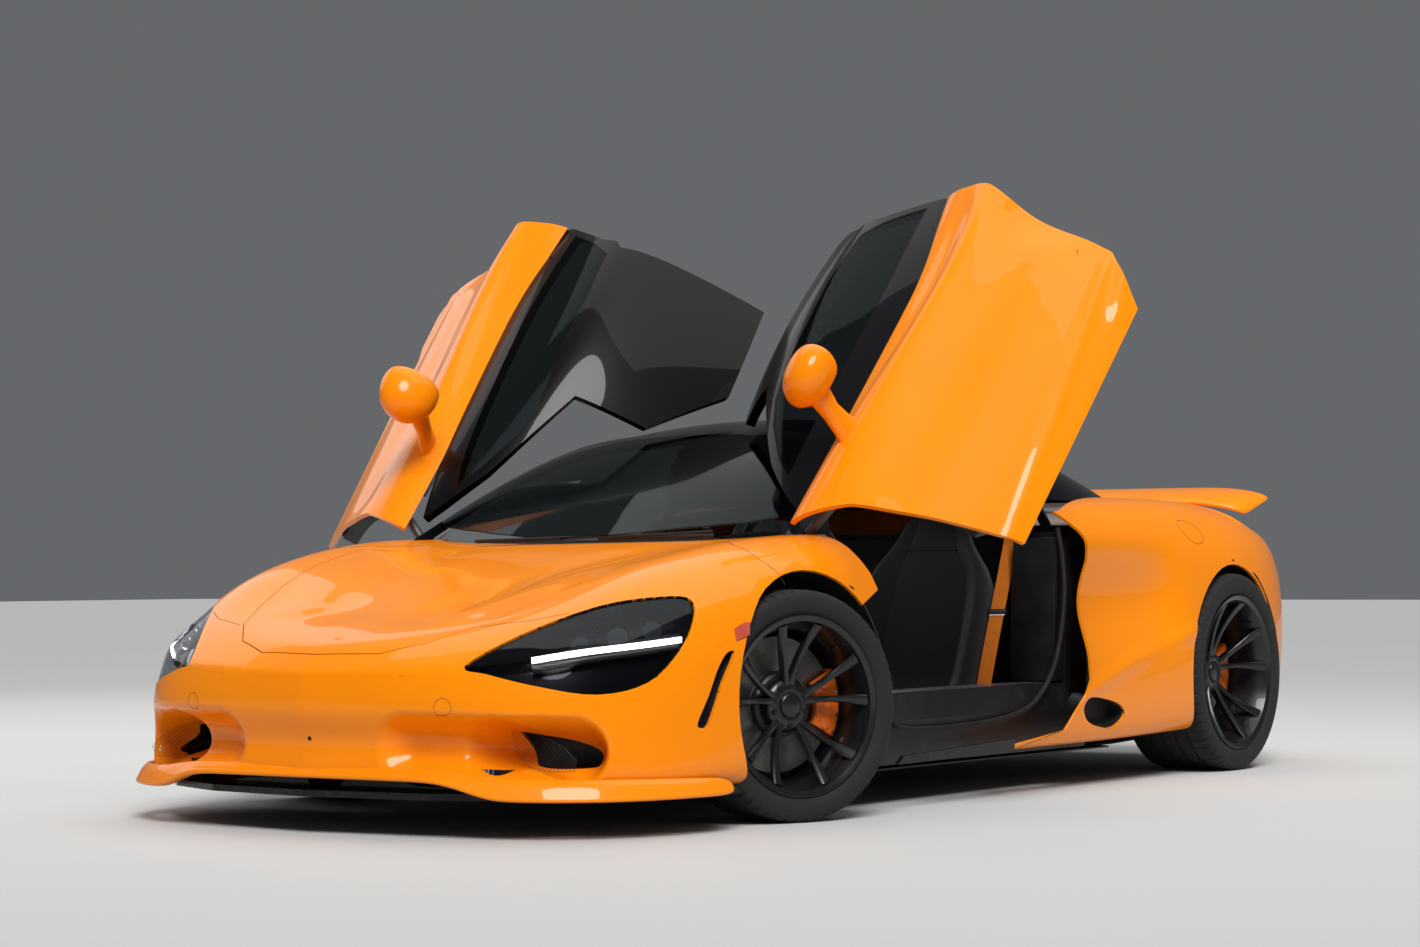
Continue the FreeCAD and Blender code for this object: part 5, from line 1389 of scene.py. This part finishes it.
class Wheels:
    """Tyres, rims, discs and calipers."""

    AXLES = (WheelSizes(True, -1189.5, 1680, 322, 245, 252), WheelSizes(False, 1480.5, 1629, 340, 303, 265))
    PAIRS = 5
    TREAD_STEPS = 360

    def peg(self, base: float, tip: float, length: float, sides: int, spot: Vector) -> BMesh:
        """A peg that lies along the axle, with its middle at a spot."""
        return cone(base, tip, length, sides, Matrix.Translation(spot * MM) @ Matrix.Rotation(math.pi / 2, 4, "Y"))

    def tyre(self, size: WheelSizes) -> BMesh:
        """A tyre with grooves round it and cuts across its shoulders."""
        half, top, rim = size.width / 2, size.radius, size.rim
        wall, bead = half - 16.3, rim - 13.7
        right = [(wall, bead, 0), (wall + 1, rim + 2, 0), (wall + 6, rim + 7, 0), (half - 4, rim + 16, 0),
                 (half - 1, rim + 26, 0), (half, (rim + top) / 2, 0), (half - 1, top - 26, 0), (half - 3, top - 18, 0),
                 (half - 7, top - 10, 1), (half - 14, top - 4.5, 1), (half - 24, top - 1.2, 1),
                 (half - 38, top - 0.4, 1)]
        grooves = []
        for middle in (0.50, 0.18, -0.18, -0.50):
            x = half * middle
            grooves += [(x + 5.5, top, 0), (x + 4.5, top - 7, 0), (x - 4.5, top - 7, 0), (x - 5.5, top, 0)]
        left = [(-x, r, cut) for x, r, cut in reversed(right)]
        line = right + grooves + left
        rows = []
        for k, angle in enumerate(around(self.TREAD_STEPS)):
            drop = 4.5 if k % 6 == 0 else 0.0
            rows.append([polar(x, r - drop * cut, angle) * MM for x, r, cut in line])
        return loft(rows + rows[:1], caps=False)

    def rim(self, size: WheelSizes) -> tuple[BMesh, BMesh]:
        """A rim of slim spokes in pairs, and its bolts and valve."""
        half, top = size.width / 2 - 8, size.rim
        seat = top - 14
        well, drop = seat - 16, seat - 25
        barrel = spun([(-half, top - 1), (-half + 6, top - 0.5), (-half + 9, seat), (-half + 60, well),
                       (half - 60, well), (half - 9, seat), (half - 6, top - 0.5), (half - 1, top - 0.4),
                       (half, top - 2.5), (half - 1, top - 6), (half - 7, seat - 3), (half - 30, seat - 13),
                       (half - 62, drop), (-half + 62, drop), (-half, seat - 8)], 144)
        hub = spun([(8, 0), (8, 77), (22, 78), (34, 74), (41, 66), (46, 56), (47.5, 44), (46.5, 38), (46.5, 0)], 96)
        cap = spun([(44, 0), (44, 36), (49, 35.5), (53, 32.5), (55.2, 28), (55.6, 0)], 64)
        shapes = [barrel, hub, cap]
        for pair in range(self.PAIRS):
            for lean in (-1, 1):
                rows = []
                for share in (0.0, 0.12, 0.28, 0.5, 0.72, 0.88, 1.0):
                    reach = 46 + (seat - 9 - 46) * share
                    angle = math.radians(360 / self.PAIRS * pair + lean * (6.5 + 9.0 * share ** 0.8))
                    face = 44 + (half - 11 - 44) * (0.35 * share + 0.65 * share ** 2.2)
                    wide = 13.0 - 4.5 * math.sin(math.pi * min(share, 0.8) / 0.8) ** 0.8 + 3.0 * share ** 4
                    deep = 31.0 - 6.0 * share
                    out = polar(0, 1, angle)
                    across = Vector((0, math.cos(angle), -math.sin(angle)))
                    ridge = lean * wide * 0.25
                    shape = ((-wide, -6), (-wide * 0.72, -1.2), (ridge, 0.8), (wide * 0.72, -1.2), (wide, -6),
                             (wide * 0.55, -deep), (-wide * 0.55, -deep))
                    rows.append([(out * reach + across * a + Vector((face + b, 0, 0))) * MM for a, b in shape])
                shapes.append(loft(rows))
        bolts = []
        for k in range(self.PAIRS):
            bolts.append(self.peg(9.8, 8.5, 16, 6, polar(40, 56, math.radians(360 / self.PAIRS * (k + 0.5)))))
        angle = math.radians(36)
        spot = polar(half - 34, drop - 12, angle)
        bolts.append(tube([spot, spot + polar(26, -4, angle)], 3.2, smooth=False))
        return joined(shapes), joined(bolts)

    def disc(self) -> tuple[BMesh, BMesh]:
        """A vented, drilled disc, and its bell with the spindle."""
        plates = [spun([(x, 94), (x, 190), (x + 11, 190), (x + 11, 94)], 120) for x in (-50, -29)]
        plates += [moved(slab((-40, -2, 100), (-28, 2, 186)), Matrix.Rotation(a, 4, "X")) for a in around(36)]
        holes = []
        for k, angle in enumerate(around(60)):
            holes.append(self.peg(3.6, 3.6, 32.8, 10, polar(-34, (118, 140, 162, 178)[k % 4], angle)))
        bell = spun([(-128, 0), (-128, 25), (-50, 25), (-50, 95), (-20, 95), (-18, 92), (2, 90), (8, 84), (8, 0)], 72)
        return joined(plates), joined([bell] + holes)

    def caliper(self) -> tuple[BMesh, BMesh]:
        """A six-piston caliper behind the axle, and its pins."""
        inner = [(-84, 120), (-84, 196), (-74, 206), (-56, 208), (-56, 120)]
        outer = [(-12, 120), (-12, 208), (0, 206), (10, 196), (12, 180), (12, 132), (6, 120)]
        bridge = [(-58, 196.5), (-58, 208), (-10, 208), (-10, 196.5)]
        shapes = [spun(inner, 120, 62, 56), spun(outer, 120, 62, 56)]
        shapes += [spun(bridge, 120, start, 8) for start in (62, 86, 110)]
        shapes += [self.peg(21, 19, 6, 36, polar(12, 160, math.radians(angle))) for angle in (70, 90, 110)]
        pins = [tube([polar(x, 190, math.radians(angle)) for x in (-84, 13.5)], 5, smooth=False)
                for angle in (65, 80, 100, 115)]
        return joined(shapes), joined(pins)

    def build(self) -> None:
        """Makes all four corners."""
        for size in self.AXLES:
            end = "front" if size.front else "rear"
            tyre = self.tyre(size)
            rim, bolts = self.rim(size)
            plates, bell = self.disc()
            calliper, pins = self.caliper()
            for suffix, carrier, at in size.places():
                wheel = "wheel_%s_%s" % (end, suffix)
                flip = at if suffix == "left" else at @ Matrix.Rotation(math.pi, 4, "Z")
                level = at if suffix == "left" else at @ Matrix.Rotation(math.pi, 4, "Y")
                tag = "%s_%s" % (end, suffix)
                mount = ("caliper_" + tag,) if size.front else (("calipers_rear",) if suffix == "left" else ())
                for name, finish, replaces, shape, body, turn, more in (
                        ("tyre_tread_", Finishes.TYRE, ("tyre_" + tag,), tyre, wheel, flip, {"sharp": 32}),
                        ("rim_spokes_", Finishes.RIM, ("rim_" + tag,), rim, wheel, flip, {"sharp": 34}),
                        ("rim_bolts_", Finishes.BLACK, (), bolts, wheel, flip, {}),
                        # The disc plates take the steel finish that is darkened as painted shade.
                        ("disc_plates_", Finishes.SHADED_STEEL, ("disc_" + tag,), plates, wheel, flip, {}),
                        ("disc_bell_", Finishes.CAST, (), bell, wheel, flip, {"slot": "iron"}),
                        ("caliper_body_", Finishes.ORANGE_DARK, mount, calliper, carrier, level, {"bevel": 0.002}),
                        ("caliper_pins_", Finishes.CHROME, (), pins, carrier, level, {})):
                    Piece(name + tag, finish, replaces, body=body, **more).make(shape.copy(), turn)
            for shape in (tyre, rim, bolts, plates, bell, calliper, pins):
                shape.free()


class RearWing:
    """The wing over the tail, which droops and sweeps back at its ends."""

    SECTION = ((1959, 941), (1961, 946), (1966, 951), (1976, 955.5), (2010, 965), (2060, 977), (2120, 987.5),
               (2180, 995.5), (2240, 1001.5), (2261, 1003), (2262, 999.5), (2240, 993.5), (2180, 981), (2110, 963.5),
               (2050, 949.5), (2000, 939), (1976, 934.3), (1964, 934))
    STATIONS = ((0.0, 0, 0), (0.3, 0, 0), (0.6, 1, 0.3), (0.72, 8, 2), (0.82, 24, 7.5), (0.9, 46, 17), (0.95, 62, 26),
                (0.985, 80, 37), (1.0, 92, 43))
    HALF_SPAN = 720.0
    TAIL = 2262.0

    def section(self, share: float, sweep: float, drop: float) -> list[Vector]:
        """One section at a share of the half span."""
        squeeze = (self.TAIL - 1959 - sweep) / (self.TAIL - 1959)
        thin = 0.25 if abs(share) >= 1.0 else 1.0
        rows = []
        for y, z in self.SECTION:
            middle = 937 + (y - 1959) * 0.2
            rows.append(Vector((share * self.HALF_SPAN, self.TAIL - (self.TAIL - y) * squeeze,
                                middle + (z - middle) * thin - drop)) * MM)
        return rows

    def build(self) -> None:
        """Makes the wing in one piece, without the two notches at its hinges, which are hidden below it."""
        half = list(self.STATIONS)
        rows = [self.section(-a, b, c) for a, b, c in reversed(half[1:])] + [self.section(*row) for row in half]
        Piece("wing_blade", Finishes.ORANGE, ("rear_wing",), body=Body.WING.value, levels=1, sharp=30).make(loft(rows))


@dataclass(frozen=True)
class SeatRow:
    """One section across a seat: its middle on the facing, the way it faces, half width, bolster and depth."""

    y: float
    z: float
    face_y: float
    face_z: float
    half: float
    bolster: float
    depth: float

    def place(self, across: float, rise: float) -> Vector:
        """A place on the section, in metres."""
        face = Vector((0.0, self.face_y, self.face_z)).normalized()
        return (Vector((across, self.y, self.z)) + face * (rise - self.bolster * 0.8)) * MM

    def ring(self) -> list[Vector]:
        """The closed section, from one side over the facing to the other and round the back."""
        w, b, d = self.half, self.bolster, self.depth
        front = [(-1.0, -0.3 * d), (-1.0, 0.62 * b), (-0.93, b), (-0.82, 0.92 * b), (-0.68, 0.3 * b), (-0.6, 0.0),
                 (-0.55, 5.0), (-0.25, 11.0)]
        right = [(-share, rise) for share, rise in reversed(front)]
        back = [(0.9, -d), (0.45, -1.05 * d), (-0.45, -1.05 * d), (-0.9, -d)]
        return [self.place(share * w, rise) for share, rise in front + [(0.0, 12.0)] + right + back]


class Cabin:
    """Seats, belts, dashboard, console, steering wheel, sills and seals."""

    SEAT = (SeatRow(-184, 236, -1.0, 0.1, 176, 2, 50), SeatRow(-172, 284, -0.7, 0.75, 200, 8, 66),
            SeatRow(-120, 308, -0.1, 1.0, 214, 26, 80), SeatRow(10, 300, 0.15, 1.0, 226, 46, 90),
            SeatRow(130, 284, 0.1, 1.0, 234, 58, 80), SeatRow(214, 290, -0.4, 0.92, 238, 62, 84),
            SeatRow(262, 340, -0.85, 0.5, 240, 64, 90), SeatRow(296, 420, -0.93, 0.37, 241, 66, 90),
            SeatRow(340, 530, -0.93, 0.37, 242, 66, 90), SeatRow(380, 625, -0.94, 0.34, 238, 58, 84),
            SeatRow(412, 704, -0.95, 0.32, 214, 40, 70), SeatRow(436, 764, -0.95, 0.3, 160, 18, 56),
            SeatRow(454, 815, -0.95, 0.28, 128, 10, 50), SeatRow(466, 852, -0.9, 0.4, 118, 6, 46),
            SeatRow(482, 874, -0.5, 0.85, 100, 3, 34))

    def seats(self) -> None:
        """Makes both padded seats with their piping and the runners under them."""
        for side, suffix in SIDES:
            shift = Matrix.Translation((side * SEAT_X * MM, 0, 0))
            rows = [row.ring() for row in self.SEAT]
            seat = Piece("seat_pad_" + suffix, Finishes.SUEDE, ("seat_" + suffix,), levels=2,
                         sharp=80).make(loft(rows), shift)
            lines = [tube([row.place(share * row.half, 1.0) / MM for row in self.SEAT[1:-1]], 2.6)
                     for share in (-0.6, 0.6)]
            across = ((-0.58, 3), (-0.25, 9.5), (0, 10.5), (0.25, 9.5), (0.58, 3))
            lines += [tube([row.place(share * row.half, rise) / MM for share, rise in across], 1.6)
                      for row in self.SEAT[3:13:2]]
            Piece("seat_piping_" + suffix, Finishes.LEATHER).make(joined(lines), shift)
            base = [slab((-190, -150, 165), (-160, 420, 215)), slab((160, -150, 165), (190, 420, 215)),
                    slab((-175, -60, 200), (175, 300, 232))]
            Piece("seat_runners_" + suffix, Finishes.TRIM, bevel=0.003).make(joined(base), shift)

    def belts(self) -> None:
        """Hangs the two belts from behind the doors to the sills, each with its tongue and stay."""
        for side, suffix in SIDES:
            turn = None if side > 0 else MIRROR
            wide = Vector((0.80, 0.60, 0.0)) * 23.0
            thin = Vector((0.60, -0.80, 0.0)) * 1.1
            rows = []
            for y, z in ((520, 848), (486, 760), (448, 665), (404, 560), (356, 440), (306, 310), (254, 176)):
                spot = Vector((612, y, z))
                rows.append([(spot + wide * a + thin * b) * MM for a, b in ((-1, -1), (1, -1), (1, 1), (-1, 1))])
            Piece("belt_" + suffix, Finishes.WEB, ("seat_belts",) if side > 0 else (), sharp=60).make(loft(rows), turn)
            stay = [tube([Vector(spot) - wide * reach, Vector(spot) + wide * reach], radius, smooth=False)
                    for spot, reach, radius in (((612, 404, 560), 1.25, 9), ((612, 520, 846), 1.3, 8))]
            Piece("belt_stays_" + suffix, Finishes.TRIM).make(joined(stay), turn)
            spot = Vector((614, 398, 548))
            bars = [tube([spot + wide * x + thin * -3 + Vector((0, 0, z)) for x, z in line], 3.2, smooth=False)
                    for line in (((-0.5, 0), (-0.42, -36), (0.42, -36), (0.5, 0)), ((-1.1, 2), (1.1, 2)))]
            Piece("belt_tongue_" + suffix, Finishes.CHROME).make(joined(bars), turn)

    def dash(self) -> None:
        """Makes the dashboard with its screens and vents, and the column."""
        top = Outline(Axis.X, ((-888, 560), (-888, 700), (-860, 758), (-760, 784), (-640, 797), (-550, 786),
                               (-516, 756), (-502, 704), (-530, 630), (-560, 564), (-700, 524)))
        Piece("dash_pad", Finishes.SUEDE, ("dashboard",), bevel=0.01).make(plate(top, -598, 598))
        hood = loft([[Vector((SEAT_X + 150 * a, y, z + h)) * MM
                      for a, h in ((-1.0, -30), (-0.9, 4), (-0.6, 18), (0, 24), (0.6, 18), (0.9, 4), (1.0, -30))]
                     for y, z in ((-700, 790), (-520, 796), (-500, 790))])
        Piece("dash_hood", Finishes.LEATHER, levels=1).make(hood)
        screens = [plate(Outline(Axis.Y, ((235, 705), (455, 705), (455, 788), (235, 788))), -506, -498),
                   plate(Outline(Axis.Y, ((-75, 560), (75, 560), (75, 765), (-75, 765))), -512, -496)]
        Piece("dash_screens", Finishes.BLACK, bevel=0.003).make(joined(screens))
        rings = [moved(spun([(-14, 30), (-14, 40), (2, 40), (2, 34), (-6, 30)], 40),
                       Matrix.Translation((x * MM, -0.520, 0.742)) @ Matrix.Rotation(-math.pi / 2, 4, "Z"))
                 for x in (-520, -180, 170, 530)]
        Piece("dash_vents", Finishes.ALLOY).make(joined(rings))
        column = tube([(SEAT_X, -470, 692), (SEAT_X, -600, 640)], 34, smooth=False, sides=6)
        stalks = [tube([(SEAT_X + 30 * s, -470, 700), (SEAT_X + 120 * s, -452, 712)], 6) for s in (-1, 1)]
        Piece("column", Finishes.TRIM).make(joined([column] + stalks))

    def wheel(self) -> None:
        """Makes the steering wheel: a grip flattened below, three spokes, a plain pad and two paddles."""
        tilt = math.radians(21.7)
        centre = Vector((SEAT_X, -400, 720))
        face = Vector((0, math.cos(tilt), math.sin(tilt)))
        up = Vector((0, -math.sin(tilt), math.cos(tilt)))
        right = Vector((1, 0, 0))

        def at(a: float, b: float, c: float = 0.0) -> Vector:
            """A place by its way right, up and out of the wheel."""
            return centre + right * a + up * b + face * c

        grip = [at(176 * math.cos(a), max(176 * math.sin(a), -150)) for a in around(36)]
        Piece("steering_grip", Finishes.SUEDE, ("steering_wheel",), body=Body.STEERING.value).make(
            tube(grip, 14.5, sides=4, closed=True))
        spokes = [tube([at(40 * s, 8, -6), at(110 * s, 12, -4), at(170 * s, 6)], 10) for s in (-1, 1)]
        spokes.append(tube([at(0, -40, -6), at(0, -100, -4), at(0, -148)], 11))
        spokes.append(tube([at(0, 0, -38), at(0, 0, -8)], 34, smooth=False, sides=8))
        spokes += [tube([at(60 * s, 34, -26), at(110 * s, 42, -26), at(128 * s, 20, -26)], 5) for s in (-1, 1)]
        Piece("steering_spokes", Finishes.ALLOY, body=Body.STEERING.value).make(joined(spokes))
        pad = loft([[(centre + right * (w * math.cos(a)) + up * (h * math.sin(a) - 4) + face * c) * MM
                     for a in around(24)]
                    for w, h, c in ((56, 44, -14), (60, 48, -4), (58, 46, 6), (46, 36, 11), (20, 16, 12))])
        Piece("steering_pad", Finishes.LEATHER, body=Body.STEERING.value, levels=1).make(pad)

    def console(self) -> None:
        """Makes the centre console with its armrest and buttons."""
        side = Outline(Axis.X, ((-884, 164), (-884, 500), (-720, 490), (-600, 478), (-450, 414), (-300, 362),
                                (0, 370), (300, 380), (540, 418), (540, 164)))
        Piece("console_body", Finishes.TRIM, ("centre_console",), bevel=0.008).make(plate(side, -83, 83))
        rest = plate(Outline(Axis.X, ((-40, 366), (300, 380), (500, 408), (510, 430), (300, 402), (0, 388),
                                      (-46, 384))), -72, 72)
        pad = Piece("console_rest", Finishes.SUEDE, bevel=0.008).make(rest)
        knobs = [slab((x - 14, -330 - 4 * k, 362), (x + 14, -296, 376)) for k, x in enumerate((-36, 0, 36))]
        knobs += [slab((-40, y, z), (40, y + 24, z + 14)) for y, z in ((-420, 394), (-380, 382))]
        Piece("console_keys", Finishes.ALLOY, bevel=0.002).make(joined(knobs))

    def sills(self) -> None:
        """Trims the sills, the wall behind the seats, the floor and the pedals."""
        treads = slab((672, -560, 330.6), (786, 470, 333))
        Piece("sill_treads", Finishes.ALLOY, bevel=0.001).make(mirror_pair(treads))
        seals = tube([(812, -780, 640), (836, -700, 420), (842, -640, 262), (840, -560, 214), (838, 150, 228),
                      (842, 330, 330), (850, 400, 480), (842, 446, 700), (806, 458, 830)], 9)
        Piece("door_seals", Finishes.SEAL).make(mirror_pair(seals))
        trims = plate(Outline(Axis.X, ((430, 336), (494, 336), (494, 800), (462, 800), (440, 640))), 640, 806)
        Piece("pillar_trims", Finishes.TRIM, bevel=0.006).make(mirror_pair(trims))
        mats = slab((110, -780, 161), (600, -220, 168))
        Piece("floor_mats", Finishes.SUEDE, bevel=0.003).make(mirror_pair(mats))
        pedals = [slab((300, -858, 240), (360, -842, 330)), slab((400, -862, 220), (440, -846, 350)),
                  tube([(330, -846, 330), (330, -872, 470)], 7), tube([(420, -850, 350), (420, -872, 470)], 6)]
        Piece("pedals", Finishes.ALLOY, bevel=0.002).make(joined(pedals))
        wall = plate(Outline(Axis.Z, ((-600, 556), (600, 556), (600, 566), (-600, 566))), 300, 800)
        Piece("bulkhead_cloth", Finishes.SUEDE).make(wall)

    def build(self) -> None:
        """Makes the whole cabin."""
        self.seats()
        self.belts()
        self.dash()
        self.wheel()
        self.console()
        self.sills()


class Tail:
    """The mesh of the tail, its lamps and tail pipes, and the bar under it."""

    PLATE = Outline(Axis.Y, ((-730, 300), (730, 300), (754, 380), (764, 500), (755, 640), (720, 760), (648, 838),
                             (528, 868), (-528, 868), (-648, 838), (-720, 760), (-755, 640), (-764, 500), (-754, 380)))
    MESH = Outline(Axis.Y, ((-738, 436), (738, 436), (750, 500), (742, 620), (708, 736), (636, 814), (520, 846),
                            (-520, 846), (-636, 814), (-708, 736), (-742, 620), (-750, 500)))

    def build(self) -> None:
        """Makes the pieces of the tail."""
        Piece("tail_plate", Finishes.TRIM, ("tail_panel",), bevel=0.002).make(plate(self.PLATE, 2236, 2244))
        mesh = Lattice(26.0, 4.0).sheet(self.MESH, 2254)
        Piece("tail_mesh", Finishes.TRIM).make(mesh)
        edge = tube([(x, 2254, z) for x, z in self.MESH.points], 7, smooth=False, closed=True)
        Piece("tail_frame", Finishes.BLACK).make(edge)
        lamps = [tube([(290, 2264, 716 - drop), (520, 2264, 720 - drop), (640, 2263, 708 - drop),
                       (712, 2260, 676 - drop)], 5) for drop in (0, 30)]
        carrier = tube([(280, 2258, 701), (520, 2258, 705), (640, 2257, 693), (718, 2254, 658)], 19)
        Piece("tail_lights", Finishes.RED_LIGHT, ("tail_lamps",)).make(mirror_pair(joined(lamps)))
        Piece("lamp_carrier", Finishes.BLACK).make(mirror_pair(carrier))
        place = Matrix.Translation((0.095, 2.0, 0.640)) @ Matrix.Rotation(math.pi / 2, 4, "Z")
        tips = moved(spun([(-20, 48), (-20, 56), (262, 57.5), (272, 57), (276, 54), (272, 51), (262, 50)], 96), place)
        bores = moved(spun([(30, 0), (30, 50.5), (34, 50.5), (34, 0)], 48), place)
        Piece("tail_pipes", Finishes.CHROME).make(mirror_pair(tips))
        Piece("pipe_bores", Finishes.TRIM).make(mirror_pair(bores))
        bar = plate(Outline(Axis.Y, ((-728, 400), (728, 400), (738, 430), (-738, 430))), 2244, 2270)
        Piece("tail_bar", Finishes.BLACK, bevel=0.006).make(bar)


# Finishes of the nodes that no piece stands for, by how their names start; the others are black trim
NODE_FINISH = {
    "front_splitter": Finishes.BLACK, "side_skirts": Finishes.BLACK, "diffuser": Finishes.BLACK,
    "engine": Finishes.CAST, "exhaust": Finishes.CHROME, "suspension": Finishes.CAST, "upright": Finishes.CAST,
}


def dress_nodes() -> None:
    """Gives every node of the frame its finish."""
    for name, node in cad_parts.items():
        finish = next((f for key, f in NODE_FINISH.items() if name.startswith(key)), Finishes.TRIM)
        node.data.materials.clear()
        node.data.materials.append(Finishes.get(finish))


@dataclass
class Studio:
    """The floor, the lights and the camera."""

    camera_at: Triple = (5.7634, -8.6819, 0.6912)
    yaw: float = -0.605
    pitch: float = 0.031
    roll: float = -0.005
    focal_pixels: float = 3200.0
    width_pixels: float = 1420.0
    sensor: float = 36.0

    def camera(self) -> None:
        """Sets the camera where the photograph was taken from."""
        ahead = Vector((math.cos(self.pitch) * math.sin(self.yaw), math.cos(self.pitch) * math.cos(self.yaw),
                        math.sin(self.pitch)))
        level = Vector((math.cos(self.yaw), -math.sin(self.yaw), 0.0))
        up = level.cross(ahead)
        right = level * math.cos(self.roll) + up * math.sin(self.roll)
        above = up * math.cos(self.roll) - level * math.sin(self.roll)
        data = bpy.data.cameras.new("camera")
        data.sensor_width = self.sensor
        data.lens = self.focal_pixels / self.width_pixels * self.sensor
        data.clip_start = 0.1
        data.clip_end = 200.0
        obj = placed("camera", data)
        turn = Matrix((right, above, -ahead)).transposed().to_4x4()
        obj.matrix_world = Matrix.Translation(self.camera_at) @ turn
        bpy.context.scene.camera = obj

    def floor(self) -> None:
        """Lays a plain pale floor."""
        bm = bmesh.new()
        bmesh.ops.create_grid(bm, x_segments=2, y_segments=2, size=60.0)
        mesh = bpy.data.meshes.new("floor")
        bm.to_mesh(mesh)
        bm.free()
        g = Graph("floor")
        tone = g.noise(0.4, 2.0)
        shader = g.surface(base_color=g.blend(tone, (0.60, 0.60, 0.59), (0.64, 0.64, 0.63)), roughness=0.7)
        mesh.materials.append(g.done(shader.outputs[0]))
        placed("floor", mesh)

    def light(self, name: str, place: tuple, aim: tuple, size: Pair, power: float) -> None:
        """Hangs one soft light.

        Args:
            name: Its name.
            place: Where it hangs.
            aim: What it points at.
            size: Its two sides.
            power: Watts.
        """
        data = bpy.data.lights.new(name, "AREA")
        data.shape = "RECTANGLE"
        data.size, data.size_y = size
        data.energy = power
        obj = placed(name, data)
        obj.location = place
        obj.rotation_euler = (Vector(aim) - Vector(place)).to_track_quat("-Z", "Y").to_euler()

    def lights(self) -> None:
        """Hangs the soft boxes and sets the pale surroundings."""
        sun = bpy.data.lights.new("soft_sun", "SUN")
        sun.energy = 2.9
        sun.angle = 0.5
        lamp = placed("soft_sun", sun)
        lamp.rotation_euler = Vector((-3.4, 3.6, -5.6)).to_track_quat("-Z", "Y").to_euler()
        self.light("top_box", (0.0, 1.5, 6.5), (0, 0, 0), (9.0, 6.0), 240)
        self.light("rim_box", (-7.5, 1.0, 4.6), (0, 0, 0.5), (7.0, 4.0), 90)
        world = bpy.data.worlds.new("studio")
        world.use_nodes = True
        ground = world.node_tree.nodes["Background"]
        ground.inputs[0].default_value = (0.82, 0.86, 0.9, 1.0)
        ground.inputs[1].default_value = 0.16
        bpy.context.scene.world = world
        view = bpy.context.scene.view_settings
        view.view_transform = "Standard"
        view.look = "None"

    def build(self) -> None:
        """Sets everything up."""
        self.camera()
        self.floor()
        self.lights()


def main() -> None:
    """Builds the car piece by piece."""
    logging.basicConfig(level=logging.INFO, format="%(name)s: %(message)s")
    Studio().build()
    dress_nodes()
    shell = Shell()
    shell.panels()
    shell.openings()
    shell.lamps()
    shell.glasshouse()
    shell.doors()
    Wheels().build()
    RearWing().build()
    Cabin().build()
    Tail().build()


if __name__ == "__main__":
    main()
